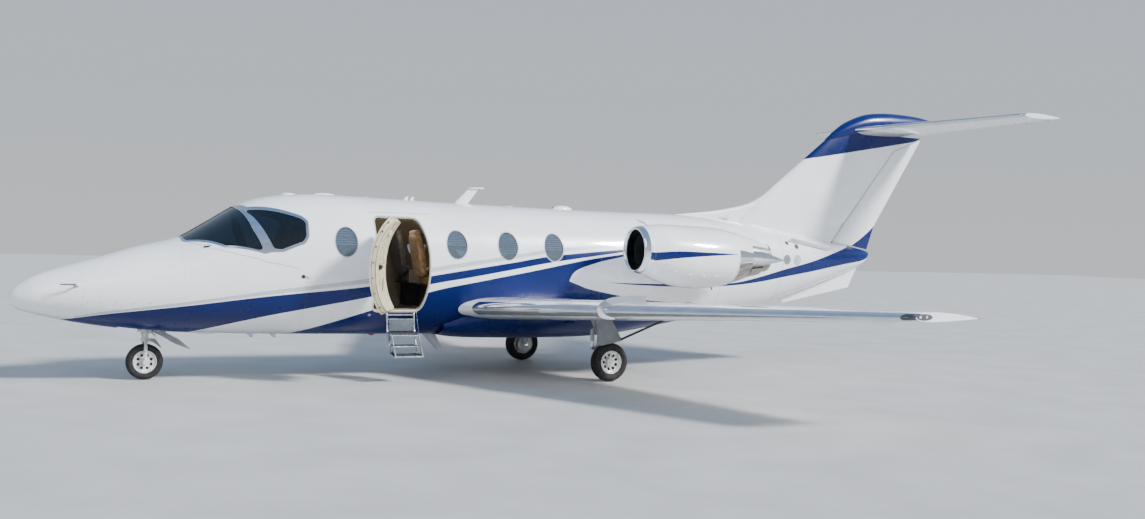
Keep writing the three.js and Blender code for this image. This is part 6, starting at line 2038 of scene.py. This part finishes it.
def make_blinds():
    """Pleated blinds behind the cabin windows, drawn part of the way down."""
    for side, word, numbers in ((-1, "left", LEFT_WINDOWS), (1, "right", RIGHT_WINDOWS)):
        for count, i in enumerate(numbers):
            x0, zc = WINDOW["at"][i], WINDOW["z"]
            rows, z, top = [], zc + float(BLIND["half_height"]), BLIND["half_height"]
            while z > zc + top - 2 * top * DRAWN[i]:
                wide = BLIND["half_width"] * math.sqrt(max(0.0, 1 - ((z - zc) / BLIND["reveal"]) ** 2)) - 1
                depth = -BLIND["depth"] - BLIND["fold"] * (len(rows) % 2)
                spots = [hull_at(x, z, side) for x in np.linspace(x0 - wide, x0 + wide, 9)]
                rows.append([tuple(spot + facing * depth) for spot, facing in spots])
                z -= BLIND["pleat"]
            # Upper faces of the pleats in the blind's grey-white, lower faces in painted shade
            made = Piece().loft(rows, lambda row, _: ("blind_underside", "pleated_blind")[row % 2],
                                caps=(False, False), closed=False)
            blind = made.place(f"window_blind_{word}_{count + 1}", slot="lining", crease=20)
            area = sum(face.area for face in blind.data.polygons)
            drop = sum((Vector(a[4]) - Vector(b[4])).length for a, b in zip(rows, rows[1:])) / 1000
            wide = max(BLIND["flat_width"], area / drop)


make_blinds()


def cabin_lamp():
    """A weak warm lamp in the cabin so that the seats show through the doorway."""
    light = bpy.data.lights.new("cabin_lamp", "POINT")
    light.energy = 7
    light.shadow_soft_size = 0.25
    light.color = linear("FFE9CC")[:3]
    lamp = bpy.data.objects.new("cabin_lamp", light)
    lamp.location = (4850 / 1000 + NOSE_X, -0.1, 2.08)
    bpy.context.scene.collection.objects.link(lamp)


cabin_lamp()


# Studio
def studio():
    """A pale floor, a soft key light from behind to port, a fill from the camera's side, a pale sky."""
    mesh = bpy.data.meshes.new("studio_floor")
    mesh.from_pydata([(x, y, -0.002) for x, y in ((-60, -60), (80, -60), (80, 60), (-60, 60))], [],
                     [(0, 1, 2, 3)])
    # Pale cast floor, ground smooth: matt, with faint drifts of tone
    layered("studio_floor", "B9B8B5", (900, "BDBCB9", "B3B2AF"), Roughness=0.6)
    mesh.materials.append(FINISH["studio_floor"])
    made = bpy.data.objects.new("studio_floor", mesh)
    bpy.context.scene.collection.objects.link(made)
    for name, toward, strength, angle in (("key", (1.1, -1.15, 1.15), 6.6, 9),
                                          ("fill", (-0.9, -1.0, 0.8), 0.7, 40)):
        light = bpy.data.lights.new(name, "SUN")
        light.energy = strength
        light.angle = math.radians(angle)
        lamp = bpy.data.objects.new(name, light)
        lamp.rotation_euler = Vector(toward).to_track_quat("Z", "Y").to_euler()
        bpy.context.scene.collection.objects.link(lamp)
    world = bpy.data.worlds.new("pale_sky")
    bpy.context.scene.world = world
    world.use_nodes = True
    tree = world.node_tree
    back = tree.nodes["Background"]
    back.inputs["Strength"].default_value = 1.1
    place = add(tree, "ShaderNodeTexCoord")
    parts = add(tree, "ShaderNodeSeparateXYZ", {"Vector": place.outputs["Generated"]})
    ramp = add(tree, "ShaderNodeValToRGB", {"Fac": parts.outputs["Z"]})
    ramp.color_ramp.elements[0].color = linear("C9CDD0")
    ramp.color_ramp.elements[1].color = linear("7FA6D6")
    tree.links.new(ramp.outputs["Color"], back.inputs["Color"])


studio()
